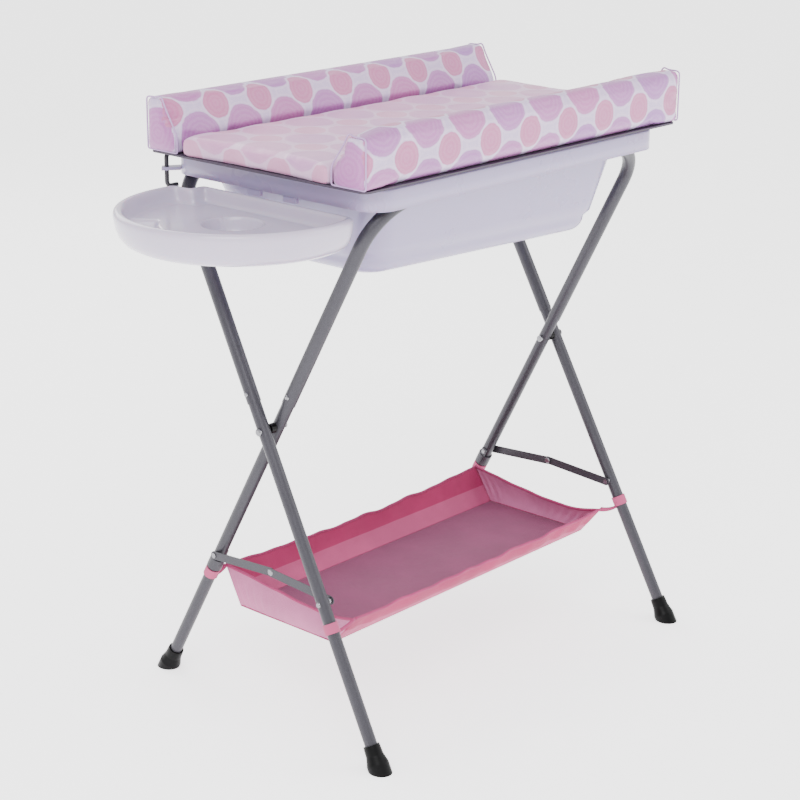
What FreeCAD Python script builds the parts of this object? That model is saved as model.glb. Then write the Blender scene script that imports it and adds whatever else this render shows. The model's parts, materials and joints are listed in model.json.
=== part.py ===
import FreeCAD, Part
import math
import os

import Sketcher

# A folding changing table: a scissor frame of steel tube carries a moulded bath with a tray,
# a padded changing top hinged over the bath, and a fabric basket between the legs.
# X runs along the table with the tray at -X, Y across it with the near side at -Y, Z up.
# The origin is on the floor, under the middle of the whole table.

V = FreeCAD.Vector
Placement = FreeCAD.Placement
Rotation = FreeCAD.Rotation
X_AXIS, Y_AXIS, Z_AXIS = V(1, 0, 0), V(0, 1, 0), V(0, 0, 1)
SIDES = (("left", -1), ("right", 1))

doc = FreeCAD.newDocument("ChangingTable")
sheet = doc.addObject("Spreadsheet::Sheet", "Sizes")


class Size:
    """A number that remembers the sheet formula it comes from, so features can be bound to it."""

    def __init__(self, number, text):
        self.number, self.text = number, text

    def join(self, other, sign, number):
        other_text = other.text if isinstance(other, Size) else repr(other)
        return Size(number, "(%s %s %s)" % (self.text, sign, other_text))

    def __add__(self, other):
        return self.join(other, "+", self.number + float(other))

    def __sub__(self, other):
        return self.join(other, "-", self.number - float(other))

    def __mul__(self, other):
        return self.join(other, "*", self.number * float(other))

    def __truediv__(self, other):
        return self.join(other, "/", self.number / float(other))

    def __neg__(self):
        return Size(-self.number, "(0 - %s)" % self.text)

    def __float__(self):
        return float(self.number)


rows = []


def size(name, number, meaning=""):
    """Writes one plain number to the sheet under an alias and returns it as a Size."""
    rows.append(name)
    row = len(rows)
    sheet.set("A%d" % row, meaning or name.replace("_", " "))
    sheet.set("B%d" % row, repr(round(float(number), 6)))
    sheet.setAlias("B%d" % row, name)
    return Size(float(number), "Sizes." + name)


# ---- driving sizes, millimetres and degrees -------------------------------------------------

tube_diameter = size("tube_diameter", 22, "outside of the upper U tubes")
tube_wall = size("tube_wall", 0.9)
sleeve_play = size("sleeve_play", 0.1, "between a lower leg and the tube it slides into")
leg_slope = size("leg_slope", 27.95, "legs from the vertical, table open")
leg_splay = size("leg_splay", 1.58, "legs spread along X towards the floor")
pivot_height = size("pivot_height", 484.3, "where the two frames cross")
plane_step = size("plane_step", 31, "from an inner leg to the outer leg beside it")
crossbar_drop = size("crossbar_drop", 24.5, "rim top down to the middle of the crossbars")
bend_radius = size("bend_radius", 80, "U bend, on the centre line")
joint_reach = size("joint_reach", 46, "from the crossing up to the end of the U tube")
sleeve_depth = size("sleeve_depth", 30, "length of a lower leg inside the U tube")
brace_reach = size("brace_reach", 278.8, "from the crossing down to the brace rivets")
brace_rise = size("brace_rise", 8.5, "middle rivet above the end rivets, table open")
link_width = size("link_width", 14)
link_thick = size("link_thick", 1.5)
running_gap = size("running_gap", 0.3, "between pieces that move past each other")
foot_height = size("foot_height", 32, "rubber boot up the leg")
sole_thick = size("sole_thick", 9, "floor to the middle of a leg's cut end")

tub_height = size("tub_height", 886, "top of the rim")
tub_depth = size("tub_depth", 166, "rim top to the underside of the bath")
tub_half_width = size("tub_half_width", 217, "rim, across")
tub_half_length = size("tub_half_length", 345, "rim, along")
tub_wall = size("tub_wall", 3)
skirt_height = size("skirt_height", 33)
rim_corner = size("rim_corner", 40)
basin_inset = size("basin_inset", 31, "rim edge to the basin's long wall, at the top")
basin_left = tub_half_length - 14
basin_right = tub_half_length - 33
long_draft = size("long_draft", 17.5, "slope of the long walls")
left_draft = size("left_draft", 19.3, "slope of the left end wall")
right_draft = size("right_draft", 10, "slope of the right end wall")
basin_corner = size("basin_corner", 66, "plan corners of the basin at the top")
basin_round = size("basin_round", 24, "bottom edge of the basin")
drain_place = size("drain_place", 120, "drain from the middle of the stand")
drain_radius = size("drain_radius", 16)

tray_radius = size("tray_radius", 185)
tray_height = tub_height - 43
tray_deep = size("tray_deep", 52)
tray_wall = size("tray_wall", 4)
pan_deep = size("pan_deep", 24, "tray's edge down to its shelf")
soap_deep = size("soap_deep", 40, "tray's edge down to the soap channel")
cup_deep = size("cup_deep", 46, "tray's edge down to the cup well")
cup_place = size("cup_place", 15, "cup well from the tray's centre, away from the bath")
soap_width = size("soap_width", 39, "width of the soap channel")
tray_rib = size("tray_rib", 3, "thickness of the walls under the shelf")
cup_radius = size("cup_radius", 42, "inside of the cup well")
soap_start = 128.0    # the soap channel runs from this angle to its mirror image
neck_clear = size("neck_clear", 5, "tray to the leg that passes its neck")

pad_half_length = size("pad_half_length", 382)
pad_half_width = size("pad_half_width", 229)
pad_lift = size("pad_lift", 3, "rim top to the underside of the pad")
board_thick = size("board_thick", 3)
mat_thick = size("mat_thick", 28)
bolster_height = size("bolster_height", 91, "above the board")
bolster_base = size("bolster_base", 69)
bolster_top = size("bolster_top", 35)
soft_round = size("soft_round", 9)
rod_radius = size("rod_radius", 3.5)
rod_drop = size("rod_drop", 52, "hinge line down to the rod's hook")
hinge_height = size("hinge_height", -2, "rim top to the hinge line")

basket_half_length = size("basket_half_length", 323)
basket_corner_gap = size("basket_corner_gap", 5, "long walls stop short of the ends")
basket_end_gap = size("basket_end_gap", 4, "end walls stop short of the sides")
basket_half_width = size("basket_half_width", 107, "at the floor")
basket_flare = size("basket_flare", 39, "long walls lean out by this much at the top")
basket_floor_height = size("basket_floor_height", 147)
basket_wall_height = size("basket_wall_height", 62)
basket_end_height = size("basket_end_height", 60)
fabric = size("fabric", 3, "thickness of the basket's fabric walls")
loop_reach = size("loop_reach", 319, "from the crossing down to the basket loops")
bolt_radius = size("bolt_radius", 3)
rivet_radius = size("rivet_radius", 2.5)
arm_face = 1.4    # outside of a collar's arm from the leg's surface

# ---- sizes that follow ----------------------------------------------------------------------

slope = math.radians(float(leg_slope))
splay = math.radians(float(leg_splay))
inner_half = tub_half_length - 13
outer_half = inner_half + plane_step
tube_radius = tube_diameter / 2
leg_radius = tube_radius - tube_wall - sleeve_play
# the floor is pivot_height below the crossing, so a foot is that far down the slope
leg_reach = size("leg_reach", (float(pivot_height) - float(sole_thick)) / math.cos(slope))
crossbar_reach = size("crossbar_reach", (float(tub_height) - float(crossbar_drop)
                                         - float(pivot_height)) / math.cos(slope))
crossbar_y = size("crossbar_y", float(crossbar_reach) * math.sin(slope))
crossbar_z = size("crossbar_z", float(pivot_height) + float(crossbar_reach) * math.cos(slope))
tray_centre = tub_half_length + 60
sole_radius = leg_radius + 7.5
# the tray reaches furthest to the left, and the pad or an outer foot to the right; half their
# difference brings the origin under the middle
floor_reach = float(pivot_height) / math.cos(slope)
foot_edge = float(outer_half) + math.sin(splay) * floor_reach + float(sole_radius) * math.cos(splay)
right_edge = max(float(pad_half_length), foot_edge)
stand_shift = size("stand_shift", (float(tray_centre + tray_radius) - right_edge) / 2)

# ---- building blocks ------------------------------------------------------------------------


def bind(thing, name, amount):
    """Sets a feature's size, and ties it to the sheet when the size comes from there."""
    setattr(thing, name, float(amount))
    if isinstance(amount, Size):
        thing.setExpression(name, amount.text)


def new_body(label):
    body = doc.addObject("PartDesign::Body", label)
    body.Label = label
    return body


def new_sketch(body, role, level=0.0):
    """A sketch on one of the body's own origin planes, moved along its normal by level."""
    sketch = body.newObject("Sketcher::SketchObject", body.Label + "_outline")
    plane = [item for item in body.Origin.OriginFeatures if item.Role == role][0]
    sketch.AttachmentSupport = (plane, [""])
    sketch.MapMode = "FlatFace"
    sketch.AttachmentOffset = Placement(V(0, 0, float(level)), Rotation())
    if isinstance(level, Size):
        sketch.setExpression("AttachmentOffset.Base.z", level.text)
    return sketch


def constrain(sketch, kind, places, amount):
    """Adds a constraint with a size. A distance that runs backwards swaps its two points."""
    number = float(amount)
    if kind in ("DistanceX", "DistanceY") and number < 0:
        places = places[2:] + places[:2]
        amount, number = -amount, -number
    index = sketch.addConstraint(Sketcher.Constraint(kind, *places, number))
    if isinstance(amount, Size):
        sketch.setExpression("Constraints[%d]" % index, amount.text)


def pin(sketch, item, end, x, y):
    """Fixes one point of a sketch item at x, y from the sketch's origin."""
    for kind, amount, axis in (("DistanceX", x, -2), ("DistanceY", y, -1)):
        if abs(float(amount)) < 1e-9:
            sketch.addConstraint(Sketcher.Constraint("PointOnObject", item, end, axis))
        else:
            constrain(sketch, kind, (-1, 1, item, end), amount)


def circle(sketch, radius, x=0.0, y=0.0):
    place = V(float(x), float(y), 0)
    item = sketch.addGeometry(Part.Circle(place, Z_AXIS, float(radius)), False)
    pin(sketch, item, 3, x, y)
    constrain(sketch, "Radius", (item,), radius)


def polygon(sketch, points):
    """A closed outline of straight lines through the points."""
    spots = [V(float(x), float(y), 0) for x, y in points]
    first = sketch.GeometryCount
    count = len(spots)
    for k in range(count):
        sketch.addGeometry(Part.LineSegment(spots[k], spots[(k + 1) % count]), False)
    for k in range(count):
        sketch.addConstraint(Sketcher.Constraint("Coincident", first + k, 2, first + (k + 1) % count, 1))
        pin(sketch, first + k, 1, *points[k])


def rounded_box(sketch, left, right, low, high, corner):
    """A rectangle with four equal round corners, its sides placed from the sketch's origin."""
    lo, hi = (float(left), float(low)), (float(right), float(high))
    r = float(corner)
    first = sketch.GeometryCount
    runs = (
        ((lo[0] + r, lo[1]), (hi[0] - r, lo[1]), (hi[0] - r, lo[1] + r), -90),
        ((hi[0], lo[1] + r), (hi[0], hi[1] - r), (hi[0] - r, hi[1] - r), 0),
        ((hi[0] - r, hi[1]), (lo[0] + r, hi[1]), (lo[0] + r, hi[1] - r), 90),
        ((lo[0], hi[1] - r), (lo[0], lo[1] + r), (lo[0] + r, lo[1] + r), 180),
    )
    for start, end, centre, turn in runs:
        sketch.addGeometry(Part.LineSegment(V(*start, 0), V(*end, 0)), False)
        arc = Part.Circle(V(*centre, 0), Z_AXIS, r)
        a = math.radians(turn)
        sketch.addGeometry(Part.ArcOfCircle(arc, a, a + math.pi / 2), False)
    for k in range(4):
        line, arc = first + 2 * k, first + 2 * k + 1
        sketch.addConstraint(Sketcher.Constraint("Tangent", line, 2, arc, 1))
        sketch.addConstraint(Sketcher.Constraint("Tangent", arc, 2, first + (2 * k + 2) % 8, 1))
        sketch.addConstraint(Sketcher.Constraint(("Horizontal", "Vertical")[k % 2], line))
        if k:
            sketch.addConstraint(Sketcher.Constraint("Equal", first + 1, arc))
    constrain(sketch, "Radius", (first + 1,), corner)
    constrain(sketch, "DistanceY", (-1, 1, first, 1), low)
    constrain(sketch, "DistanceX", (-1, 1, first + 2, 1), right)
    constrain(sketch, "DistanceY", (-1, 1, first + 4, 1), high)
    constrain(sketch, "DistanceX", (-1, 1, first + 6, 1), left)


def pad(body, sketch, length, middle=False):
    feature = body.newObject("PartDesign::Pad", body.Label + "_pad")
    feature.Profile = sketch
    bind(feature, "Length", length)
    if middle:
        feature.SideType = "Symmetric"
    return feature


def pocket(body, sketch, length=None, forwards=False):
    """Cuts the outline out of the body: to a depth against the sketch's normal, or right through."""
    doc.recompute()
    before = body.Shape.Volume
    feature = body.newObject("PartDesign::Pocket", body.Label + "_pocket")
    feature.Profile = sketch
    feature.Reversed = forwards
    if length is None:
        feature.Type = "ThroughAll"
        feature.SideType = "Symmetric"
    else:
        bind(feature, "Length", length)
    doc.recompute()
    if body.Shape.Volume > before - 1e-3:
        raise RuntimeError(body.Label + ": a pocket cut nothing")
    return feature


def fillet(body, radius, wanted):
    """Rounds the edges of the body's last feature that wanted(edge) picks."""
    doc.recompute()
    base = body.Tip
    names = ["Edge%d" % (k + 1) for k, edge in enumerate(base.Shape.Edges) if wanted(edge)]
    if not names:
        raise RuntimeError(body.Label + ": no edge to round")
    feature = body.newObject("PartDesign::Fillet", body.Label + "_round")
    feature.Base = (base, names)
    bind(feature, "Radius", radius)
    return feature


def turned(label, points):
    """A body turned about X: each point is (place along X, radius)."""
    body = new_body(label)
    sketch = new_sketch(body, "XY_Plane")
    polygon(sketch, points)
    feature = body.newObject("PartDesign::Revolution", label + "_turn")
    feature.Profile = sketch
    feature.ReferenceAxis = (sketch, ["H_Axis"])
    feature.Angle = 360
    return body


def tube_piece(start, end, inside, outside):
    """Outline for turned(): a plain ring from start to end."""
    return [(start, inside), (end, inside), (end, outside), (start, outside)]


def stand(x=0.0, y=0.0, z=0.0, turn=Rotation()):
    """A place in the stand, moved so that the origin is under the middle of the table."""
    return Placement(V(float(stand_shift) + float(x), float(y), float(z)), turn)


def group(label, things):
    """One node made of several separate equal pieces."""
    both = doc.addObject("Part::Compound", label)
    both.Label = label
    both.Links = things
    nodes.append(both)
    return both


def node(thing, place=None):
    if place is not None:
        thing.Placement = place
    nodes.append(thing)
    return thing


nodes = []

# ---- crossing hardware ----------------------------------------------------------------------


def crossing_hardware():
    """Bolt, nut and spacer on each side. They stay still while both frames turn about them."""
    gap = running_gap + 0.1
    inner_face, outer_face = inner_half - leg_radius, outer_half + leg_radius
    bolts, nuts, spacers = [], [], []
    for side, sign in SIDES:
        turn = Rotation(Z_AXIS, 0 if sign > 0 else 180)
        head, tip = outer_face + gap, inner_face - gap - 4
        bolts.append(turned("crossing_bolt_" + side, [
            (tip, 0.0), (tip, bolt_radius), (head, bolt_radius), (head, bolt_radius * 2),
            (head + 2.5, bolt_radius * 2), (head + 4, bolt_radius * 1.3), (head + 4, 0.0)]))
        nuts.append(turned("crossing_nut_" + side, tube_piece(
            inner_face - gap - 3.5, inner_face - gap, bolt_radius + 0.05, bolt_radius * 1.85)))
        spacers.append(turned("crossing_spacer_" + side, tube_piece(
            inner_half + leg_radius + 0.5, outer_half - leg_radius - 0.5,
            bolt_radius + 0.1, bolt_radius + 5)))
        for piece in (bolts[-1], nuts[-1], spacers[-1]):
            piece.Placement = stand(z=pivot_height, turn=turn)
    group("crossing_bolts", bolts)
    group("crossing_nuts", nuts)
    group("crossing_spacers", spacers)


# ---- the two frames -------------------------------------------------------------------------


def upper_tube(label, half, frame):
    """The U tube, drawn in its own plane: up one leg, round a bend, along the crossbar and down."""
    body = new_body(label)
    spine = new_sketch(body, "XZ_Plane")
    low, high, radius = float(joint_reach), float(crossbar_reach), float(bend_radius)
    lean = math.tan(splay)
    foot = V(-(float(half) - lean * low), low, 0)
    corner = V(-(float(half) - lean * high), high, 0)
    along = V(math.sin(splay), math.cos(splay), 0)
    cut = radius * math.tan((math.pi / 2 - splay) / 2)
    bend_in, bend_out = corner - along * cut, corner + V(cut, 0, 0)
    centre = bend_out - V(0, radius, 0)
    middle = centre + (corner - centre).normalize() * radius

    def mirror(p):
        return V(-p.x, p.y, 0)

    spine.addGeometry(Part.LineSegment(foot, bend_in), False)
    spine.addGeometry(Part.Arc(bend_in, middle, bend_out), False)
    spine.addGeometry(Part.LineSegment(bend_out, mirror(bend_out)), False)
    spine.addGeometry(Part.Arc(mirror(bend_out), mirror(middle), mirror(bend_in)), False)
    spine.addGeometry(Part.LineSegment(mirror(bend_in), mirror(foot)), False)
    # a sketch turns an arc to run anticlockwise, so its two ends swap names
    for line, line_end, arc, arc_end in ((0, 2, 1, 2), (2, 1, 1, 1), (2, 2, 3, 2), (4, 1, 3, 1)):
        spine.addConstraint(Sketcher.Constraint("Tangent", line, line_end, arc, arc_end))
    spine.addConstraint(Sketcher.Constraint("Horizontal", 2))
    spine.addConstraint(Sketcher.Constraint("Symmetric", 0, 1, 4, 2, -2))
    spine.addConstraint(Sketcher.Constraint("Equal", 1, 3))
    spine.addConstraint(Sketcher.Constraint("Equal", 0, 4))
    constrain(spine, "Radius", (1,), bend_radius)
    constrain(spine, "DistanceY", (-1, 1, 2, 1), crossbar_reach)
    constrain(spine, "DistanceY", (-1, 1, 0, 1), joint_reach)
    constrain(spine, "DistanceX", (0, 1, -1, 1), half - joint_reach * lean)
    doc.recompute()
    ring = body.newObject("Sketcher::SketchObject", label + "_section")
    ring.AttachmentSupport = (spine, ["Edge1"])
    ring.MapMode = "NormalToEdge"
    ring.MapPathParameter = 0
    circle(ring, tube_radius)
    circle(ring, tube_radius - tube_wall)
    pipe = body.newObject("PartDesign::AdditivePipe", label + "_sweep")
    pipe.Profile = ring
    pipe.Spine = (spine, ["Edge%d" % (k + 1) for k in range(5)])
    for _, sign in SIDES:
        hole = new_sketch(body, "YZ_Plane", half * sign)
        circle(hole, 2.3, 0.0, joint_reach + sleeve_depth / 2)
        pocket(body, hole, tube_diameter, forwards=sign > 0)
    node(body, frame)


def leg_place(frame, half, sign):
    """The axes of one leg: Z up the leg, from the crossing."""
    tilt = Rotation(Y_AXIS, -sign * float(leg_splay))
    return frame * Placement(V(sign * float(half), 0, 0), tilt)


def lower_leg(label, place, sign):
    """A straight tube from inside the U tube down to the boot, drilled for bolt, rivet and screw."""
    body = new_body(label)
    section = new_sketch(body, "XY_Plane", -leg_reach)
    circle(section, leg_radius)
    circle(section, leg_radius - tube_wall)
    pad(body, section, leg_reach + joint_reach + sleeve_depth)
    holes = new_sketch(body, "YZ_Plane")
    circle(holes, bolt_radius + 0.6)
    circle(holes, rivet_radius + 0.4, 0.0, -brace_reach)
    pocket(body, holes)
    screw_hole = new_sketch(body, "YZ_Plane")
    circle(screw_hole, 2.3, 0.0, joint_reach + sleeve_depth / 2)
    pocket(body, screw_hole, tube_diameter, forwards=sign > 0)
    node(body, place)


def boot(label, place):
    """A rubber boot round the end of a leg, cut flat where it stands on the floor."""
    end, top = leg_reach, leg_reach - foot_height
    body = turned(label + "_moulding", [
        (top, leg_radius + 0.1), (top, leg_radius + 2.8), (top + 5, leg_radius + 3.3),
        (end - 16, leg_radius + 3.8), (end - 7, leg_radius + 6), (end - 2, sole_radius),
        (end + 30, sole_radius), (end + 30, 0.0), (end + 0.3, 0.0), (end + 0.3, leg_radius + 0.1)])
    body.Placement = place * Placement(V(), Rotation(Y_AXIS, 90))
    ground = doc.addObject("Part::Box", label + "_ground")
    ground.Length, ground.Width, ground.Height = 2000, 2000, 200
    ground.Placement = Placement(V(-1000, -1000, -200), Rotation())
    cut = doc.addObject("Part::Cut", label)
    cut.Label = label
    cut.Base, cut.Tool = body, ground
    node(cut)


def frame_parts(name, half, tilt):
    """One of the two U frames: tube, legs, screws, boots and basket loops."""
    frame = stand(z=pivot_height, turn=Rotation(X_AXIS, tilt))
    feet = "near" if tilt < 0 else "far"
    upper_tube(name + "_upper_tube", half, frame)
    screws, loops = [], []
    for side, sign in SIDES:
        place = leg_place(frame, half, sign)
        down = place * Placement(V(), Rotation(Y_AXIS, 90))
        lower_leg("%s_leg_%s" % (name, side), place, sign)
        boot("%s_foot_%s" % (feet, side), place)
        screw = turned("%s_screw_%s" % (name, side), [
            (leg_radius - 3, 0.0), (leg_radius - 3, 2.0), (tube_radius + 0.1, 2.0),
            (tube_radius + 0.1, 4.0), (tube_radius + 1.2, 3.7), (tube_radius + 1.8, 2.2),
            (tube_radius + 1.8, 0.0)])
        middle = float(joint_reach + sleeve_depth / 2)
        turn = Rotation(Z_AXIS, 0 if sign > 0 else 180)
        screw.Placement = place * Placement(V(0, 0, middle), turn)
        screws.append(screw)
        loop = turned("%s_loop_%s" % (feet, side), tube_piece(
            loop_reach - 8, loop_reach + 8, leg_radius + 0.2, leg_radius + 2.2))
        loop.Placement = down
        loops.append(loop)
    group(name + "_joint_screws", screws)
    group(feet + "_basket_loops", loops)
    return frame


# ---- folding braces -------------------------------------------------------------------------


# the links hang between the leg planes, centred there at mid travel
link_plane = size("link_plane", float(inner_half) + float(plane_step) / 2
                  + math.tan(splay) * float(brace_reach) * 0.753)
brace_y = float(brace_reach) * math.sin(slope)
brace_z = float(pivot_height) - float(brace_reach) * math.cos(slope)
link_length = size("link_length", math.hypot(brace_y, float(brace_rise)))
link_angle = math.degrees(math.atan2(float(brace_rise), brace_y))


def link(label, near, sign):
    """One flat link from its leg to the middle rivet, drilled at the leg end."""
    body = new_body(label)
    radius = link_width / 2
    face = link_plane * sign + (0.15 if (near == (sign > 0)) else -0.15)
    outline = new_sketch(body, "YZ_Plane", face)
    r, far = float(radius), float(link_length)
    outline.addGeometry(Part.LineSegment(V(0, -r, 0), V(far, -r, 0)), False)
    tip = Part.Circle(V(far, 0, 0), Z_AXIS, r)
    outline.addGeometry(Part.ArcOfCircle(tip, -math.pi / 2, math.pi / 2), False)
    outline.addGeometry(Part.LineSegment(V(far, r, 0), V(0, r, 0)), False)
    heel = Part.Circle(V(0, 0, 0), Z_AXIS, r)
    outline.addGeometry(Part.ArcOfCircle(heel, math.pi / 2, 3 * math.pi / 2), False)
    for k in range(4):
        outline.addConstraint(Sketcher.Constraint("Tangent", k, 2, (k + 1) % 4, 1))
    outline.addConstraint(Sketcher.Constraint("Coincident", 3, 3, -1, 1))
    outline.addConstraint(Sketcher.Constraint("PointOnObject", 1, 3, -1))
    constrain(outline, "Radius", (3,), radius)
    constrain(outline, "DistanceX", (3, 3, 1, 3), link_length)
    circle(outline, rivet_radius + running_gap)
    plate = pad(body, outline, link_thick)
    plate.Reversed = near != (sign > 0)
    angle = link_angle if near else 180 - link_angle
    place = stand(y=-brace_y if near else brace_y, z=brace_z, turn=Rotation(X_AXIS, angle))
    node(body, place)


def link_rivet(label, near, sign):
    """Head of the middle rivet on one link. The rivet is split, so that each link swings alone."""
    if near:
        face = link_plane + link_thick + 0.15
        points = [(face, 0.0), (face, 5.5), (face + 0.8, 4.2), (face + 0.8, 0.0)]
    else:
        face = link_plane - link_thick - 1.15
        points = [(face, 0.0), (face, 4.2), (face + 1.0, 5.5), (face + 1.0, 0.0)]
    head = turned(label, points)
    turn = Rotation(Z_AXIS, 0 if sign > 0 else 180)
    head.Placement = stand(z=brace_z + float(brace_rise), turn=turn)
    return head


def end_rivet(label, half, near, sign):
    """Rivet through a leg and the end of its link, with a shoulder that keeps the link off the leg."""
    centre = float(half) + math.tan(splay) * float(brace_reach)
    leg = float(leg_radius)
    if near:
        tip, inside = link_plane - 1.2, link_plane + link_thick + 0.15 + running_gap
        points = [(tip, 0.0), (tip, 4.5), (tip + 0.9, 4.5), (tip + 0.9, rivet_radius),
                  (inside, rivet_radius), (inside, 4.5), (centre - leg - 0.2, 4.5),
                  (centre - leg - 0.2, rivet_radius), (centre + leg + 0.2, rivet_radius),
                  (centre + leg + 0.2, 4.5), (centre + leg + 1.8, 3.4), (centre + leg + 1.8, 0.0)]
    else:
        tip, inside = link_plane + 1.2, link_plane - link_thick - 0.15 - running_gap
        arm = centre - leg - arm_face - 0.2
        points = [(arm - 1.6, 0.0), (arm - 1.6, 3.4), (arm, 4.5),
                  (arm, rivet_radius), (inside, rivet_radius),
                  (tip - 0.9, rivet_radius), (tip - 0.9, 4.5), (tip, 4.5), (tip, 0.0)]
    rivet = turned(label, points)
    turn = Rotation(Z_AXIS, 0 if sign > 0 else 180)
    rivet.Placement = stand(y=-brace_y if near else brace_y, z=brace_z, turn=turn)
    return rivet


def collar(label, place, sign):
    """A ring on a far leg just under its rivet, with a thin arm that the rivet passes through."""
    body = turned(label, tube_piece(
        brace_reach + 8.5, brace_reach + 29, leg_radius + 0.1, leg_radius + 2.6))
    arm = new_sketch(body, "XY_Plane", 0.0)
    inner, outer = leg_radius + 0.1, leg_radius + arm_face
    arm.AttachmentOffset = Placement(V(0, 0, -6), Rotation())
    side = -1 if sign > 0 else 1
    near_face, far_face = sorted((float(inner) * side, float(outer) * side))
    polygon(arm, [(brace_reach - 7, near_face), (brace_reach + 9.5, near_face),
                  (brace_reach + 9.5, far_face), (brace_reach - 7, far_face)])
    pad(body, arm, 12)
    hole = new_sketch(body, "XZ_Plane")
    circle(hole, rivet_radius + 0.4, brace_reach)
    pocket(body, hole)
    body.Placement = place * Placement(V(), Rotation(Y_AXIS, 90) * Rotation(X_AXIS, 90))
    return body


def braces(outer_frame, inner_frame):
    near_rivets, far_rivets, near_heads, far_heads, collars = [], [], [], [], []
    for side, sign in SIDES:
        link("near_link_" + side, True, sign)
        link("far_link_" + side, False, sign)
        near_rivets.append(end_rivet("near_rivet_" + side, outer_half, True, sign))
        far_rivets.append(end_rivet("far_rivet_" + side, inner_half, False, sign))
        near_heads.append(link_rivet("near_head_" + side, True, sign))
        far_heads.append(link_rivet("far_head_" + side, False, sign))
        collars.append(collar("far_collar_" + side, leg_place(inner_frame, inner_half, sign), sign))
    group("near_brace_rivets", near_rivets)
    group("far_brace_rivets", far_rivets)
    group("near_link_rivet_heads", near_heads)
    group("far_link_rivet_heads", far_heads)
    group("far_brace_collars", collars)


# ---- bath and tray --------------------------------------------------------------------------


def drafted(angle, height):
    return math.tan(math.radians(float(angle))) * float(height)


def basin_loft(body, kind, bottom, inset):
    """A ruled loft up round-cornered rectangles. The lowest four follow the bottom's round edge,
    and above it the walls slope out to the rim."""
    round_edge = float(basin_round) - float(inset)
    sections = []
    for turn in (0, 30, 60, 90, None):
        a = math.radians(turn or 0)
        rise = 0.0 if turn is None else round_edge * (1 - math.cos(a))
        tuck = 0.0 if turn is None else round_edge * (1 - math.sin(a))
        height = tub_height if turn is None else bottom + rise
        drop = float(tub_height) - float(height)
        sketch = new_sketch(body, "XY_Plane", height)
        half = tub_half_width - basin_inset - inset - drafted(long_draft, drop) - tuck
        left = basin_left - inset - drafted(left_draft, drop) - tuck
        right = basin_right - inset - drafted(right_draft, drop) - tuck
        corner = basin_corner - inset - drop / 8 - tuck / 1.5
        rounded_box(sketch, -left, right, -half, half, corner)
        sections.append(sketch)
    loft = body.newObject(kind, body.Label + "_loft")
    loft.Profile = sections[0]
    loft.Sections = sections[1:]
    loft.Ruled = True
    doc.recompute()


def tub():
    body = new_body("tub")
    bottom = tub_height - tub_depth
    basin_loft(body, "PartDesign::AdditiveLoft", bottom, 0.0)
    rim = new_sketch(body, "XY_Plane", tub_height - tub_wall)
    rounded_box(rim, -tub_half_length, tub_half_length, -tub_half_width, tub_half_width, rim_corner)
    pad(body, rim, tub_wall)
    skirt = new_sketch(body, "XY_Plane", tub_height - skirt_height)
    rounded_box(skirt, -tub_half_length, tub_half_length, -tub_half_width, tub_half_width, rim_corner)
    rounded_box(skirt, tub_wall - tub_half_length, tub_half_length - tub_wall,
                tub_wall - tub_half_width, tub_half_width - tub_wall, rim_corner - tub_wall)
    pad(body, skirt, skirt_height)
    doc.recompute()
    basin_loft(body, "PartDesign::SubtractiveLoft", bottom + tub_wall, tub_wall)
    drain = new_sketch(body, "XY_Plane", bottom)
    circle(drain, drain_radius + 8, drain_place)
    pocket(body, drain, tub_wall * 2, forwards=True)
    node(body, stand())


def drain():
    """A ring in the floor of the bath, and the plug that lifts out of it."""
    floor = tub_height - tub_depth
    up = stand(x=drain_place, turn=Rotation(Y_AXIS, -90))
    neck = drain_radius + 7.7
    ring = turned("drain_ring", [
        (floor - 3.5, drain_radius + 0.3), (floor - 3.5, drain_radius + 12), (floor, drain_radius + 12),
        (floor, neck), (floor + tub_wall + 1.5, neck), (floor + tub_wall + 1.5, drain_radius + 0.3)])
    node(ring, up)
    top = floor + tub_wall + 1.8
    plug = turned("drain_plug", [
        (floor - 2, 0.0), (floor - 2, drain_radius - 1), (floor, drain_radius), (top, drain_radius),
        (top, drain_radius + 4), (top + 2, drain_radius + 3), (top + 2, 4.0), (top + 8, 4.0),
        (top + 9, 6.0), (top + 12, 5.0), (top + 12, 0.0)])
    node(plug, up)


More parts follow.
